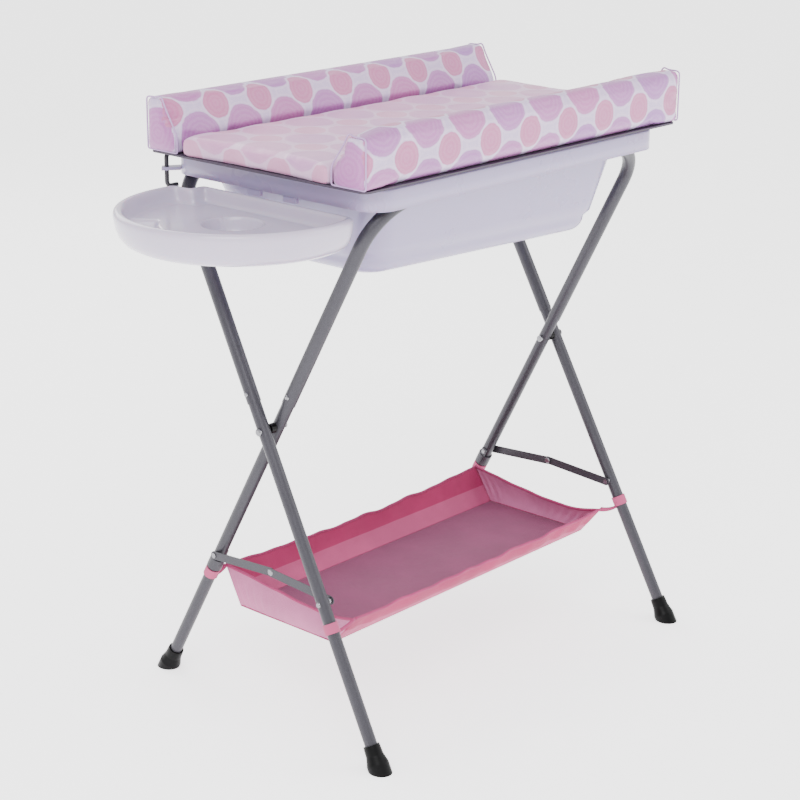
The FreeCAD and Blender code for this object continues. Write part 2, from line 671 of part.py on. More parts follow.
def tray():
    """A round-fronted tray on the left end: a shelf with a cup well and a long soap channel."""
    body = new_body("tray")
    base = tray_height - tray_deep
    centre = -tray_centre
    # the outer leg runs past the neck on the far side; the tray stays clear of it
    reach = (float(base) - float(pivot_height)) / math.cos(slope)
    leg_x = -(float(outer_half) - math.tan(splay) * float(joint_reach))
    notch_x = leg_x - float(tube_radius) - float(neck_clear) + 3
    notch_y = reach * math.sin(slope) - float(tube_radius) / math.cos(slope) - float(neck_clear)
    blank = new_sketch(body, "XY_Plane", base)
    circle(blank, tray_radius, centre)
    pad(body, blank, tray_deep)
    fillet(body, 16.0, lambda edge: abs(edge.BoundBox.ZMax - float(base)) < 0.01)
    back = new_sketch(body, "XY_Plane", base)
    edge = -tub_half_length
    far = 400.0
    polygon(back, [(edge, -far), (far, -far), (far, far), (notch_x, far), (notch_x, notch_y),
                   (edge, notch_y)])
    pocket(body, back, tray_deep, forwards=True)
    # a shelf inside the edge, with a soap channel round its front and a cup well in its middle
    inside = tray_radius - tray_wall
    back_wall = notch_x - float(tray_wall)
    shelf = new_sketch(body, "XY_Plane", tray_height)
    d_shape(shelf, centre, inside, back_wall)
    pocket(body, shelf, pan_deep)
    neck = new_sketch(body, "XY_Plane", tray_height)
    rounded_box(neck, back_wall - 12, edge - tray_wall, -(inside - 16), notch_y - float(tray_wall), 3.0)
    pocket(body, neck, pan_deep)
    channel = new_sketch(body, "XY_Plane", tray_height)
    crescent(channel, centre, inside, inside - soap_width, soap_start)
    pocket(body, channel, soap_deep)
    well = new_sketch(body, "XY_Plane", tray_height)
    circle(well, cup_radius, centre - cup_place)
    pocket(body, well, cup_deep)
    # the underside is open, round the wall of the cup well
    under = new_sketch(body, "XY_Plane", base)
    d_shape(under, centre, inside - soap_width - tray_rib, back_wall)
    circle(under, cup_radius + tray_rib, centre - cup_place)
    pocket(body, under, tray_deep - pan_deep - tray_wall, forwards=True)
    tongue = new_sketch(body, "XY_Plane", base + 10)
    rounded_box(tongue, edge - 6, -basin_left - 1, -70.0, 70.0, 2.0)
    pad(body, tongue, tray_deep - 10)
    node(body, stand())
    hangers = []
    for k in (-1, 1):
        hanger = new_body("tray_hanger_%d" % (k + 2))
        block = new_sketch(hanger, "XY_Plane", tray_height)
        rounded_box(block, edge + tub_wall + 0.3, edge + tub_wall + 8, k * 38 - 14.0, k * 38 + 14.0, 2.0)
        pad(hanger, block, tub_height - tub_wall - tray_height)
        hanger.Placement = stand()
        hangers.append(hanger)
    group("tray_hangers", hangers)


def d_shape(sketch, centre, radius, chord):
    """The part of a circle left of a straight chord."""
    half = math.acos((chord - float(centre)) / float(radius))
    ring = Part.Circle(V(float(centre), 0, 0), Z_AXIS, float(radius))
    sketch.addGeometry(Part.ArcOfCircle(ring, half, 2 * math.pi - half), False)
    y = float(radius) * math.sin(half)
    sketch.addGeometry(Part.LineSegment(V(chord, -y, 0), V(chord, y, 0)), False)
    sketch.addConstraint(Sketcher.Constraint("Coincident", 0, 2, 1, 1))
    sketch.addConstraint(Sketcher.Constraint("Coincident", 1, 2, 0, 1))
    sketch.addConstraint(Sketcher.Constraint("Vertical", 1))
    pin(sketch, 0, 3, centre, 0.0)
    constrain(sketch, "Radius", (0,), radius)
    constrain(sketch, "DistanceX", (-1, 1, 1, 1), chord)


def crescent(sketch, centre, outside, inside, start):
    """A band between two arcs about the centre, from the start angle round to its mirror image."""
    middle = V(float(centre), 0, 0)
    a = math.radians(start)
    b = 2 * math.pi - a
    ends = []
    for radius in (outside, inside):
        ring = Part.Circle(middle, Z_AXIS, float(radius))
        sketch.addGeometry(Part.ArcOfCircle(ring, a, b), False)
        r = float(radius)
        ends.append([middle + V(r * math.cos(t), r * math.sin(t), 0) for t in (a, b)])
    sketch.addGeometry(Part.LineSegment(ends[0][0], ends[1][0]), False)
    sketch.addGeometry(Part.LineSegment(ends[0][1], ends[1][1]), False)
    for line, end in ((2, 1), (3, 2)):
        sketch.addConstraint(Sketcher.Constraint("Coincident", line, 1, 0, end))
        sketch.addConstraint(Sketcher.Constraint("Coincident", line, 2, 1, end))
    sketch.addConstraint(Sketcher.Constraint("Coincident", 0, 3, 1, 3))
    pin(sketch, 0, 3, centre, 0.0)
    constrain(sketch, "Radius", (0,), outside)
    constrain(sketch, "Radius", (1,), inside)


def saddles():
    """Four blocks under the rim, hollowed to sit on the two crossbars."""
    blocks = []
    top, low = tub_height - tub_wall, crossbar_z + 4.5
    for name, way in (("near", -1), ("far", 1)):
        for side, sign in SIDES:
            body = new_body("saddle_%s_%s" % (name, side))
            face = new_sketch(body, "YZ_Plane")
            middle = crossbar_y * way
            polygon(face, [(middle - 13, low), (middle + 13, low), (middle + 13, top), (middle - 13, top)])
            pad(body, face, 44.0, middle=True)
            groove = new_sketch(body, "YZ_Plane")
            circle(groove, tube_radius + running_gap, middle, crossbar_z)
            pocket(body, groove)
            body.Placement = stand(x=sign * 185)
            blocks.append(body)
    group("rim_saddles", blocks)


# ---- changing pad ---------------------------------------------------------------------------


def soft_bar(label, points):
    """A cushion of constant section along X with its long edges rounded."""
    body = new_body(label)
    sketch = new_sketch(body, "YZ_Plane")
    polygon(sketch, points)
    pad(body, sketch, pad_half_length * 2, middle=True)
    along = float(pad_half_length) * 2 - 1
    fillet(body, soft_round, lambda edge: edge.BoundBox.XLength > along)
    node(body, stand())


def changing_pad():
    under = tub_height + pad_lift
    board = new_body("pad_board")
    sheet_outline = new_sketch(board, "XY_Plane", under)
    rounded_box(sheet_outline, -(pad_half_length - 3), pad_half_length - 3,
                -(pad_half_width - 3), pad_half_width - 3, 12.0)
    pad(board, sheet_outline, board_thick)
    node(board, stand())
    base = under + board_thick + running_gap
    inside = pad_half_width - bolster_base
    mat_edge = inside - running_gap
    soft_bar("mat_cushion", [(-mat_edge, base), (mat_edge, base),
                             (mat_edge, base + mat_thick), (-mat_edge, base + mat_thick)])
    top = base + bolster_height
    for name, way in (("near_bolster", -1), ("far_bolster", 1)):
        soft_bar(name, [(pad_half_width * way, base), (inside * way, base),
                        (inside * way, base + mat_thick),
                        ((pad_half_width - bolster_top) * way, top), (pad_half_width * way, top)])
    bumpers = []
    for way in (-1, 1):
        for side, sign in SIDES:
            bumper = turned("bumper_%s_%s" % ("near" if way < 0 else "far", side), [
                (tub_height + running_gap, 0.0), (tub_height + running_gap, 7.0),
                (under - 2, 9.0), (under, 9.0), (under, 0.0)])
            bumper.Placement = stand(x=sign * 285, y=way * 200, turn=Rotation(Y_AXIS, -90))
            bumpers.append(bumper)
    group("pad_bumpers", bumpers)


# the rods stand just outside the rim's far corners, and the pad turns on their bent tops
rod_x = tub_half_length + 8
hinge_y = tub_half_width
hinge_z = tub_height + hinge_height
rod_bend = 8.0


def hinge_rods():
    rods, lugs, knuckles = [], [], []
    tip = tub_half_length - 17
    for side, sign in SIDES:
        body = new_body("hinge_rod_" + side)
        spine = new_sketch(body, "XZ_Plane")
        x, high, low = float(rod_x), float(hinge_z), float(hinge_z) - float(rod_drop)
        b, s = rod_bend, rod_bend * math.sqrt(0.5)
        spots = [V(float(tip), high, 0), V(x - b, high, 0), V(x, high - b, 0),
                 V(x, low + b, 0), V(x - b, low, 0), V(float(tip) + 4, low, 0)]
        spine.addGeometry(Part.LineSegment(spots[0], spots[1]), False)
        spine.addGeometry(Part.Arc(spots[1], V(x - b + s, high - b + s, 0), spots[2]), False)
        spine.addGeometry(Part.LineSegment(spots[2], spots[3]), False)
        spine.addGeometry(Part.Arc(spots[3], V(x - b + s, low + b - s, 0), spots[4]), False)
        spine.addGeometry(Part.LineSegment(spots[4], spots[5]), False)
        for line, line_end, arc, arc_end in ((0, 2, 1, 2), (2, 1, 1, 1), (2, 2, 3, 2), (4, 1, 3, 1)):
            spine.addConstraint(Sketcher.Constraint("Tangent", line, line_end, arc, arc_end))
        for line, kind in ((0, "Horizontal"), (2, "Vertical"), (4, "Horizontal")):
            spine.addConstraint(Sketcher.Constraint(kind, line))
        spine.addConstraint(Sketcher.Constraint("Equal", 1, 3))
        constrain(spine, "Radius", (1,), rod_bend)
        pin(spine, 0, 1, tip, hinge_z)
        constrain(spine, "DistanceX", (-1, 1, 2, 1), rod_x)
        constrain(spine, "DistanceY", (-1, 1, 4, 2), hinge_z - rod_drop)
        constrain(spine, "DistanceX", (-1, 1, 4, 2), tip + 4)
        doc.recompute()
        section = body.newObject("Sketcher::SketchObject", body.Label + "_section")
        section.AttachmentSupport = (spine, ["Edge1"])
        section.MapMode = "NormalToEdge"
        section.MapPathParameter = 0
        circle(section, rod_radius)
        pipe = body.newObject("PartDesign::AdditivePipe", body.Label + "_sweep")
        pipe.Profile = section
        pipe.Spine = (spine, ["Edge%d" % (k + 1) for k in range(5)])
        turn = Rotation(Z_AXIS, 0 if sign > 0 else 180)
        body.Placement = stand(y=hinge_y, turn=turn)
        rods.append(body)
        lugs.append(rod_lug("rod_lug_" + side, sign))
        knuckles.append(hinge_knuckle("hinge_knuckle_" + side, tip, sign))
    group("pad_hinge_rods", rods)
    group("rod_lugs", lugs)
    group("pad_hinge_knuckles", knuckles)


def rod_lug(label, sign):
    """A plate from the skirt's corner out to the rod, drawn square to the corner and turned 45."""
    body = new_body(label)
    corner = float(rim_corner) * math.sqrt(0.5)
    at_x = float(tub_half_length) - float(rim_corner) + corner
    at_y = float(tub_half_width) - float(rim_corner) + corner
    dx, dy = float(rod_x) - at_x, float(hinge_y) - at_y
    out, across = (dx + dy) * math.sqrt(0.5), (dy - dx) * math.sqrt(0.5)
    plate = new_sketch(body, "XY_Plane", hinge_z - rod_drop / 2)
    reach = float(rod_radius) + 4
    polygon(plate, [(0.1, -9.0), (out + reach, across - reach),
                    (out + reach, across + reach), (0.1, 9.0)])
    circle(plate, rod_radius + 0.1, out, across)
    pad(body, plate, 5.0)
    turn = Rotation(Z_AXIS, 45 if sign > 0 else 135)
    body.Placement = stand(x=sign * at_x, y=at_y, turn=turn)
    if sign < 0:
        # turned over, so that the plate's skew mirrors the right one; then raised back to its level
        over = Placement(V(), Rotation(X_AXIS, 180))
        raised = Placement(V(0, 0, float(hinge_z - rod_drop / 2) * 2 + 5), Rotation())
        body.Placement = raised * body.Placement * over
    return body


def hinge_knuckle(label, tip, sign):
    """A bored block under the pad that turns on the rod's bent top."""
    body = new_body(label)
    under = tub_height + pad_lift
    start, length = tip + 1.0, 14.0
    face = new_sketch(body, "YZ_Plane", start)
    wide = rod_radius + 2.2
    polygon(face, [(hinge_y - wide, hinge_z - wide), (hinge_y + wide, hinge_z - wide),
                   (hinge_y + wide, under), (hinge_y - wide, under)])
    circle(face, rod_radius + running_gap, hinge_y, hinge_z)
    pad(body, face, length)
    fillet(body, 3.0, lambda edge: edge.BoundBox.XLength > length - 1
           and abs(edge.BoundBox.ZMax - float(hinge_z - wide)) < 0.01 and edge.BoundBox.YLength < 0.01)
    if sign > 0:
        body.Placement = stand()
    else:
        body.Placement = stand(x=-(float(start) * 2 + length))
    return body


# ---- basket ---------------------------------------------------------------------------------


def prism(label, plane, points, length, place, middle=False):
    """A fabric panel of one outline, drawn on a plane and carried along."""
    panel = new_body(label)
    face = new_sketch(panel, plane)
    polygon(face, points)
    pad(panel, face, length, middle=middle)
    panel.Placement = place
    return panel


def basket():
    """A floor, two long walls that lean out, and two upright ends that widen towards the top."""
    length, width = basket_half_length, basket_half_width
    floor_plan = [(-length, -width), (length, -width), (length, width), (-length, width)]
    node(prism("basket_floor", "XY_Plane", floor_plan, fabric, stand(z=basket_floor_height)))
    foot = basket_floor_height + fabric + 0.05
    top, end_top = foot + basket_wall_height - fabric, foot + basket_end_height - fabric
    run = length - basket_corner_gap
    for name, way in (("near", -1), ("far", 1)):
        lean = [((width - fabric) * way, foot), (width * way, foot),
                ((width + basket_flare) * way, top), ((width + basket_flare - fabric) * way, top)]
        node(prism("basket_%s_wall" % name, "YZ_Plane", lean, run * 2, stand(), middle=True))
    low, high = width - fabric - 2, width + basket_flare - fabric - 8
    for side, start in (("left", -length), ("right", length - fabric)):
        end = [(-low, foot), (low, foot), (high, end_top), (-high, end_top)]
        node(prism("basket_%s_end" % side, "YZ_Plane", end, fabric, stand(x=start)))
    # straps from the ends of the long walls to the loops on the legs
    height = float(pivot_height) - float(loop_reach) * math.cos(slope)
    leg_y = float(loop_reach) * math.sin(slope)
    share = (height - float(foot)) / float(top - foot)
    wall_y = float(width) + float(basket_flare) * share - float(fabric) / 2
    straps = []
    for name, way, half in (("near", -1, outer_half), ("far", 1, inner_half)):
        leg_x = float(half) + math.tan(splay) * float(loop_reach)
        begin = V(float(run) + 0.05, wall_y, 0)
        out = V(leg_x, leg_y, 0) - begin
        reach = out.Length - (float(leg_radius) + 2.2) / math.cos(slope) - 0.2
        finish = begin + out.normalize() * reach
        for side, sign in SIDES:
            plan = [(begin.x * sign, (begin.y - 1.4) * way), (begin.x * sign, (begin.y + 1.4) * way),
                    (finish.x * sign, (finish.y + 2.5) * way), (finish.x * sign, (finish.y - 2.5) * way)]
            straps.append(prism("strap_%s_%s" % (name, side), "XY_Plane", plan, 8.0, stand(z=height - 6)))
    group("basket_straps", straps)


# ---- the whole table ------------------------------------------------------------------------

doc.recompute()
crossing_hardware()
outer_frame = frame_parts("outer", outer_half, -float(leg_slope))
inner_frame = frame_parts("inner", inner_half, float(leg_slope))
braces(outer_frame, inner_frame)
tub()
drain()
tray()
saddles()
changing_pad()
hinge_rods()
basket()
doc.recompute()

for thing in doc.Objects:
    if "Invalid" in thing.State or "Error" in thing.State:
        raise RuntimeError("%s did not rebuild: %s" % (thing.Label, thing.State))
os.makedirs("parts", exist_ok=True)
for thing in nodes:
    if thing.Shape.isNull() or not thing.Shape.isValid() or not thing.Shape.Solids:
        raise RuntimeError(thing.Label + " has no sound shape")
    thing.Shape.exportStep("parts/%s.step" % thing.Label)
    print("%-26s %d solids, %.1f cm3" % (thing.Label, len(thing.Shape.Solids), thing.Shape.Volume / 1000))
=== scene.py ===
"""Looks of a folding changing table: bath and tray on a crossed-tube stand, padded top, cloth basket."""
import json
import math
import bmesh
import bpy
import numpy as np
from mathutils import Matrix, Vector


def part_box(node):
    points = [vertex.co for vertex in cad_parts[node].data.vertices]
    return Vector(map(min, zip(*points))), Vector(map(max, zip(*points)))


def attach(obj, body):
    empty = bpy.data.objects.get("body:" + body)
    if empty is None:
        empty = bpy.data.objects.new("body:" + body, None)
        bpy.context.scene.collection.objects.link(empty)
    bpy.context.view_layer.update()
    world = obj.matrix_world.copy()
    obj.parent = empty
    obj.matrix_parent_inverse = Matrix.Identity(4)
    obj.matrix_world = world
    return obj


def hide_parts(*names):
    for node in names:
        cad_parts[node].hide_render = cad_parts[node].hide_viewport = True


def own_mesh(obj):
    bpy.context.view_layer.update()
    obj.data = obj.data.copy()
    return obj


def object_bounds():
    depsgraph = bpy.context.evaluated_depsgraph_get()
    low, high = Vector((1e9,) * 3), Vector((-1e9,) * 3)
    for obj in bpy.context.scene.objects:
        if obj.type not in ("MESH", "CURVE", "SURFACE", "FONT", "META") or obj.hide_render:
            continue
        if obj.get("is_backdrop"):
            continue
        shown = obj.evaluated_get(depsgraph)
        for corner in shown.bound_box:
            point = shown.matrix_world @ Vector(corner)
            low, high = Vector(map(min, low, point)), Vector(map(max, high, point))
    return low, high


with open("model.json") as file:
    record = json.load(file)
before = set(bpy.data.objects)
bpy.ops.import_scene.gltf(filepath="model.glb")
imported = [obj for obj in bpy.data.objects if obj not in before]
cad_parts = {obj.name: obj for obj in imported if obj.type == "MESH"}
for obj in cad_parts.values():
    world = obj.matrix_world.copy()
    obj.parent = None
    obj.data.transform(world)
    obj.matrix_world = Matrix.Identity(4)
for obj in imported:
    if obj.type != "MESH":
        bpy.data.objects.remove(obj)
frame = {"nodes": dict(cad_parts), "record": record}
cad_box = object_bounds()


def span(node):
    """Lowest and highest corners of a CAD node, as two arrays."""
    low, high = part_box(node)
    return np.array(low, float), np.array(high, float)


MIDDLE = float(sum(span("crossing_bolts"))[0] / 2)      # the stand's own middle along X


# ---- meshes ---------------------------------------------------------------------------------

def make_piece(name, points, faces, finish, uv=None):
    """A mesh piece from arrays of points and faces; uv holds one pair for each point."""
    mesh = bpy.data.meshes.new(name)
    mesh.from_pydata(np.asarray(points, float).tolist(), [], [list(map(int, f)) for f in faces])
    mesh.update()
    if uv is not None:
        corners = np.empty(len(mesh.loops), np.int32)
        mesh.loops.foreach_get("vertex_index", corners)
        layer = mesh.uv_layers.new(name="cloth")
        layer.data.foreach_set("uv", np.asarray(uv, np.float32)[corners].ravel())
    mesh.polygons.foreach_set("use_smooth", np.ones(len(mesh.polygons), bool))
    piece = bpy.data.objects.new(name, mesh)
    bpy.context.scene.collection.objects.link(piece)
    mesh.materials.append(finish)
    return piece


def grid_faces(rows, columns, loop=False):
    """Quads of a rows x columns grid of points; loop closes it round the columns."""
    r = np.arange(rows - 1)[:, None]
    c = np.arange(columns if loop else columns - 1)[None, :]
    nxt = (c + 1) % columns
    quads = np.stack([r * columns + c, r * columns + nxt, (r + 1) * columns + nxt, (r + 1) * columns + c], -1)
    return quads.reshape(-1, 4)


def grid_piece(name, points, finish, uv=None, loop=False):
    """A smooth surface over a grid of points shaped (rows, columns, 3)."""
    rows, columns = points.shape[:2]
    flat = None if uv is None else uv.reshape(-1, 2)
    return make_piece(name, points.reshape(-1, 3), grid_faces(rows, columns, loop), finish, flat)


def outward(piece):
    """Merge doubles and turn every face outwards."""
    work = bmesh.new()
    work.from_mesh(piece.data)
    bmesh.ops.remove_doubles(work, verts=work.verts, dist=1e-6)
    bmesh.ops.recalc_face_normals(work, faces=work.faces)
    work.to_mesh(piece.data)
    work.free()
    return piece


def rounded_outline(corners, radii, steps=7):
    """Closed outline. At each corner C it follows C + (1-t)^2 (A-C) + t^2 (B-C), where A and B lie
    one radius along the two sides."""
    corners = np.asarray(corners, float)
    back, ahead = np.roll(corners, 1, 0) - corners, np.roll(corners, -1, 0) - corners
    back /= np.linalg.norm(back, axis=1)[:, None]
    ahead /= np.linalg.norm(ahead, axis=1)[:, None]
    t = np.linspace(0, 1, steps)[None, :, None]
    reach = np.asarray(radii, float)[:, None, None]
    curve = corners[:, None] + (1 - t) ** 2 * reach * back[:, None] + t ** 2 * reach * ahead[:, None]
    return curve.reshape(-1, curve.shape[-1])


def evenly(points, count, closed=True):
    """The same line with its points at equal steps along its length."""
    line = np.vstack([points, points[:1]]) if closed else np.asarray(points, float)
    run = np.concatenate([[0], np.cumsum(np.linalg.norm(np.diff(line, axis=0), axis=1))])
    at = np.linspace(0, run[-1], count + 1)[:-1] if closed else np.linspace(0, run[-1], count)
    return np.stack([np.interp(at, run, line[:, k]) for k in range(line.shape[1])], 1)


def tube_along(name, path, radius, finish, sides=10, closed=False, flat=1.0, uv_scale=1.0):
    """A tube of the given radius carried along a path: ring point = path + r (cos a N + flat sin a B)."""
    path = np.asarray(path, float)
    count = len(path)
    ahead = (np.roll(path, -1, 0) - np.roll(path, 1, 0)) if closed else np.gradient(path, axis=0)
    ahead /= np.linalg.norm(ahead, axis=1)[:, None]
    side = np.empty_like(path)
    first = np.array([0.0, 0.0, 1.0]) if abs(ahead[0][2]) < 0.9 else np.array([1.0, 0.0, 0.0])
    for i in range(count):
        first = first - ahead[i] * (first @ ahead[i])
        first /= np.linalg.norm(first)
        side[i] = first
    other = np.cross(ahead, side)
    a = np.linspace(0, 2 * math.pi, sides, endpoint=False)
    r = np.broadcast_to(np.asarray(radius, float), (count,))[:, None, None]
    rings = path[:, None] + r * (np.cos(a)[None, :, None] * side[:, None]
                                 + flat * np.sin(a)[None, :, None] * other[:, None])
    run = np.concatenate([[0], np.cumsum(np.linalg.norm(np.diff(path, axis=0), axis=1))])
    uv = np.stack(np.broadcast_arrays(run[:, None] * uv_scale, (a / (2 * math.pi) * 0.02)[None, :]), -1)
    faces = grid_faces(count, sides, True)
    points = rings.reshape(-1, 3)
    if closed:
        last = np.arange(sides)
        join = np.stack([(count - 1) * sides + last, (count - 1) * sides + (last + 1) % sides,
                         (last + 1) % sides, last], 1)
        return outward(make_piece(name, points, list(faces) + list(join), finish, uv.reshape(-1, 2)))
    caps = [list(range(sides)), list(range(count * sides - 1, (count - 1) * sides - 1, -1))]
    return outward(make_piece(name, points, list(faces) + caps, finish, uv.reshape(-1, 2)))


def join_pieces(name, pieces):
    """Several meshes as one piece."""
    work = bmesh.new()
    finishes = pieces[0].data.materials[:]
    for piece in pieces:
        work.from_mesh(piece.data)
    mesh = bpy.data.meshes.new(name)
    work.to_mesh(mesh)
    work.free()
    for material in finishes:
        mesh.materials.append(material)
    mesh.polygons.foreach_set("use_smooth", np.ones(len(mesh.polygons), bool))
    whole = bpy.data.objects.new(name, mesh)
    bpy.context.scene.collection.objects.link(whole)
    for piece in pieces:
        bpy.data.objects.remove(piece)
    return whole


def coordinates(mesh):
    found = np.empty(len(mesh.vertices) * 3)
    mesh.vertices.foreach_get("co", found)
    return found.reshape(-1, 3)


def set_coordinates(mesh, points):
    mesh.vertices.foreach_set("co", np.asarray(points, float).ravel())
    mesh.update()


def apply_modifiers(piece):
    """Replace the piece's mesh with what its modifiers make of it."""
    graph = bpy.context.evaluated_depsgraph_get()
    made = bpy.data.meshes.new_from_object(piece.evaluated_get(graph))
    piece.modifiers.clear()
    piece.data = made
    return piece


def stuff(piece, voxel=0.005, pressure=4.0, most=0.006):
    """Swell a closed cover as if filled: an even mesh, then cloth under pressure from inside with no
    weight, each point moved by no more than `most`."""
    remesh = piece.modifiers.new("even", "REMESH")
    remesh.mode, remesh.voxel_size = "VOXEL", voxel
    apply_modifiers(piece)
    start = coordinates(piece.data)
    cloth = piece.modifiers.new("swell", "CLOTH")
    cloth.settings.use_pressure = True
    cloth.settings.uniform_pressure_force = pressure
    cloth.settings.effector_weights.gravity = 0.0
    cloth.settings.quality = 4
    cloth.settings.mass = 0.3
    cloth.settings.shrink_min = -0.012
    cloth.settings.bending_stiffness = 2.0
    for frame_number in range(1, 21):
        bpy.context.scene.frame_set(frame_number)
    graph = bpy.context.evaluated_depsgraph_get()
    moved = coordinates(piece.evaluated_get(graph).to_mesh()) - start
    piece.evaluated_get(graph).to_mesh_clear()
    piece.modifiers.clear()
    bpy.context.scene.frame_set(1)
    far = np.linalg.norm(moved, axis=1)[:, None]
    set_coordinates(piece.data, start + moved * np.minimum(1.0, most / np.maximum(far, 1e-9)))
    finer = piece.modifiers.new("finer", "SUBSURF")
    finer.levels = finer.render_levels = 1
    apply_modifiers(piece)
    piece.data.polygons.foreach_set("use_smooth", np.ones(len(piece.data.polygons), bool))
    return piece


# ---- node groups and finishes -----------------------------------------------------------------

def paint(red, green, blue):
    """A colour given in 0..255 display steps, as the light values that nodes use."""
    steps = np.array([red, green, blue]) / 255.0
    light = np.where(steps <= 0.04045, steps / 12.92, ((steps + 0.055) / 1.055) ** 2.4)
    return (*light.tolist(), 1.0)


def put(tree, kind, inputs=None, **settings):
    """Place a node. inputs gives its sockets numbers, or the outputs that feed them."""
    placed = tree.nodes.new(kind)
    for key, value in settings.items():
        setattr(placed, key, value)
    for key, value in (inputs or {}).items():
        if isinstance(value, bpy.types.NodeSocket):
            tree.links.new(value, placed.inputs[key])
        else:
            placed.inputs[key].default_value = value
    return placed


def reckon(tree, operation, *terms):
    return put(tree, "ShaderNodeMath", dict(enumerate(terms)), operation=operation).outputs[0]


def vector(tree, operation, *terms):
    made = put(tree, "ShaderNodeVectorMath", dict(enumerate(terms)), operation=operation)
    return made.outputs["Value" if operation == "LENGTH" else "Vector"]


def blend(tree, share, first, second, way="MIX"):
    made = put(tree, "ShaderNodeMix", {0: share, 6: first, 7: second}, data_type="RGBA", blend_type=way)
    return made.outputs[2]


def ramp(tree, value, low, high, to_low=0.0, to_high=1.0, smooth=True):
    inputs = {"Value": value, "From Min": low, "From Max": high, "To Min": to_low, "To Max": to_high}
    kind = "SMOOTHSTEP" if smooth else "LINEAR"
    return put(tree, "ShaderNodeMapRange", inputs, interpolation_type=kind).outputs["Result"]


def cloud(tree, place, scale, detail=3.0, roughness=0.5):
    inputs = {"Vector": place, "Scale": scale, "Detail": detail, "Roughness": roughness}
    return put(tree, "ShaderNodeTexNoise", inputs).outputs["Fac"]


def effect(name, inputs, outputs):
    """An empty node group with named sockets: its tree, its input node and its output node."""
    tree = bpy.data.node_groups.new(name, "ShaderNodeTree")
    for kinds, way in ((inputs, "INPUT"), (outputs, "OUTPUT")):
        for label, kind in kinds.items():
            default = None
            if isinstance(kind, tuple):
                kind, default = kind
            made = tree.interface.new_socket(label, in_out=way, socket_type="NodeSocket" + kind)
            if default is not None:
                made.default_value = default
    return tree, tree.nodes.new("NodeGroupInput").outputs, tree.nodes.new("NodeGroupOutput").inputs


def grain_effect():
    """Fine skin of a moulded or painted surface: two sizes of noise as a bump."""
    tree, given, out = effect("surface_grain", {"Place": "Vector", "Scale": ("Float", 800.0),
                                                "Depth": ("Float", 0.2), "Waviness": ("Float", 0.0)},
                              {"Normal": "Vector"})
    fine = cloud(tree, given["Place"], given["Scale"], 2.0)
    broad = cloud(tree, given["Place"], 22.0, 2.0)
    first = put(tree, "ShaderNodeBump", {"Strength": given["Waviness"], "Distance": 0.004, "Height": broad})
    second = put(tree, "ShaderNodeBump", {"Strength": given["Depth"], "Distance": 0.0004, "Height": fine,
                                          "Normal": first.outputs[0]})
    tree.links.new(second.outputs[0], out["Normal"])
    return tree


def tone_effect():
    """Slow change of tone over a surface, between two shares of its colour."""
    tree, given, out = effect("slow_tone", {"Place": "Vector", "Color": "Color", "Scale": ("Float", 6.0),
                                            "Least": ("Float", 0.92), "Most": ("Float", 1.05)},
                              {"Color": "Color", "Value": "Float"})
    cloudy = cloud(tree, given["Place"], given["Scale"], 4.0, 0.55)
    share = ramp(tree, cloudy, 0.3, 0.7, given["Least"], given["Most"])
    grey = put(tree, "ShaderNodeCombineColor", {"Red": share, "Green": share, "Blue": share}).outputs[0]
    tree.links.new(blend(tree, 1.0, given["Color"], grey, "MULTIPLY"), out["Color"])
    tree.links.new(cloudy, out["Value"])
    return tree


def weave_effect():
    """Plain weave: two crossed thread waves with a little unevenness, as height and as a colour share."""
    tree, given, out = effect("plain_weave", {"Place": "Vector", "Threads": ("Float", 700.0)},
                              {"Height": "Float", "Share": "Float"})
    parts = put(tree, "ShaderNodeSeparateXYZ", {0: given["Place"]})
    uneven = cloud(tree, given["Place"], 90.0, 2.0)
    waves = []
    for axis in ("X", "Y"):
        along = reckon(tree, "MULTIPLY", parts.outputs[axis], given["Threads"])
        along = reckon(tree, "ADD", along, reckon(tree, "MULTIPLY", uneven, 1.6))
        waves.append(reckon(tree, "ABSOLUTE", reckon(tree, "SINE", reckon(tree, "MULTIPLY", along, math.pi))))
    height = reckon(tree, "MULTIPLY", waves[0], waves[1])
    tree.links.new(height, out["Height"])
    tree.links.new(ramp(tree, height, 0.0, 0.8, 0.82, 1.04), out["Share"])
    return tree


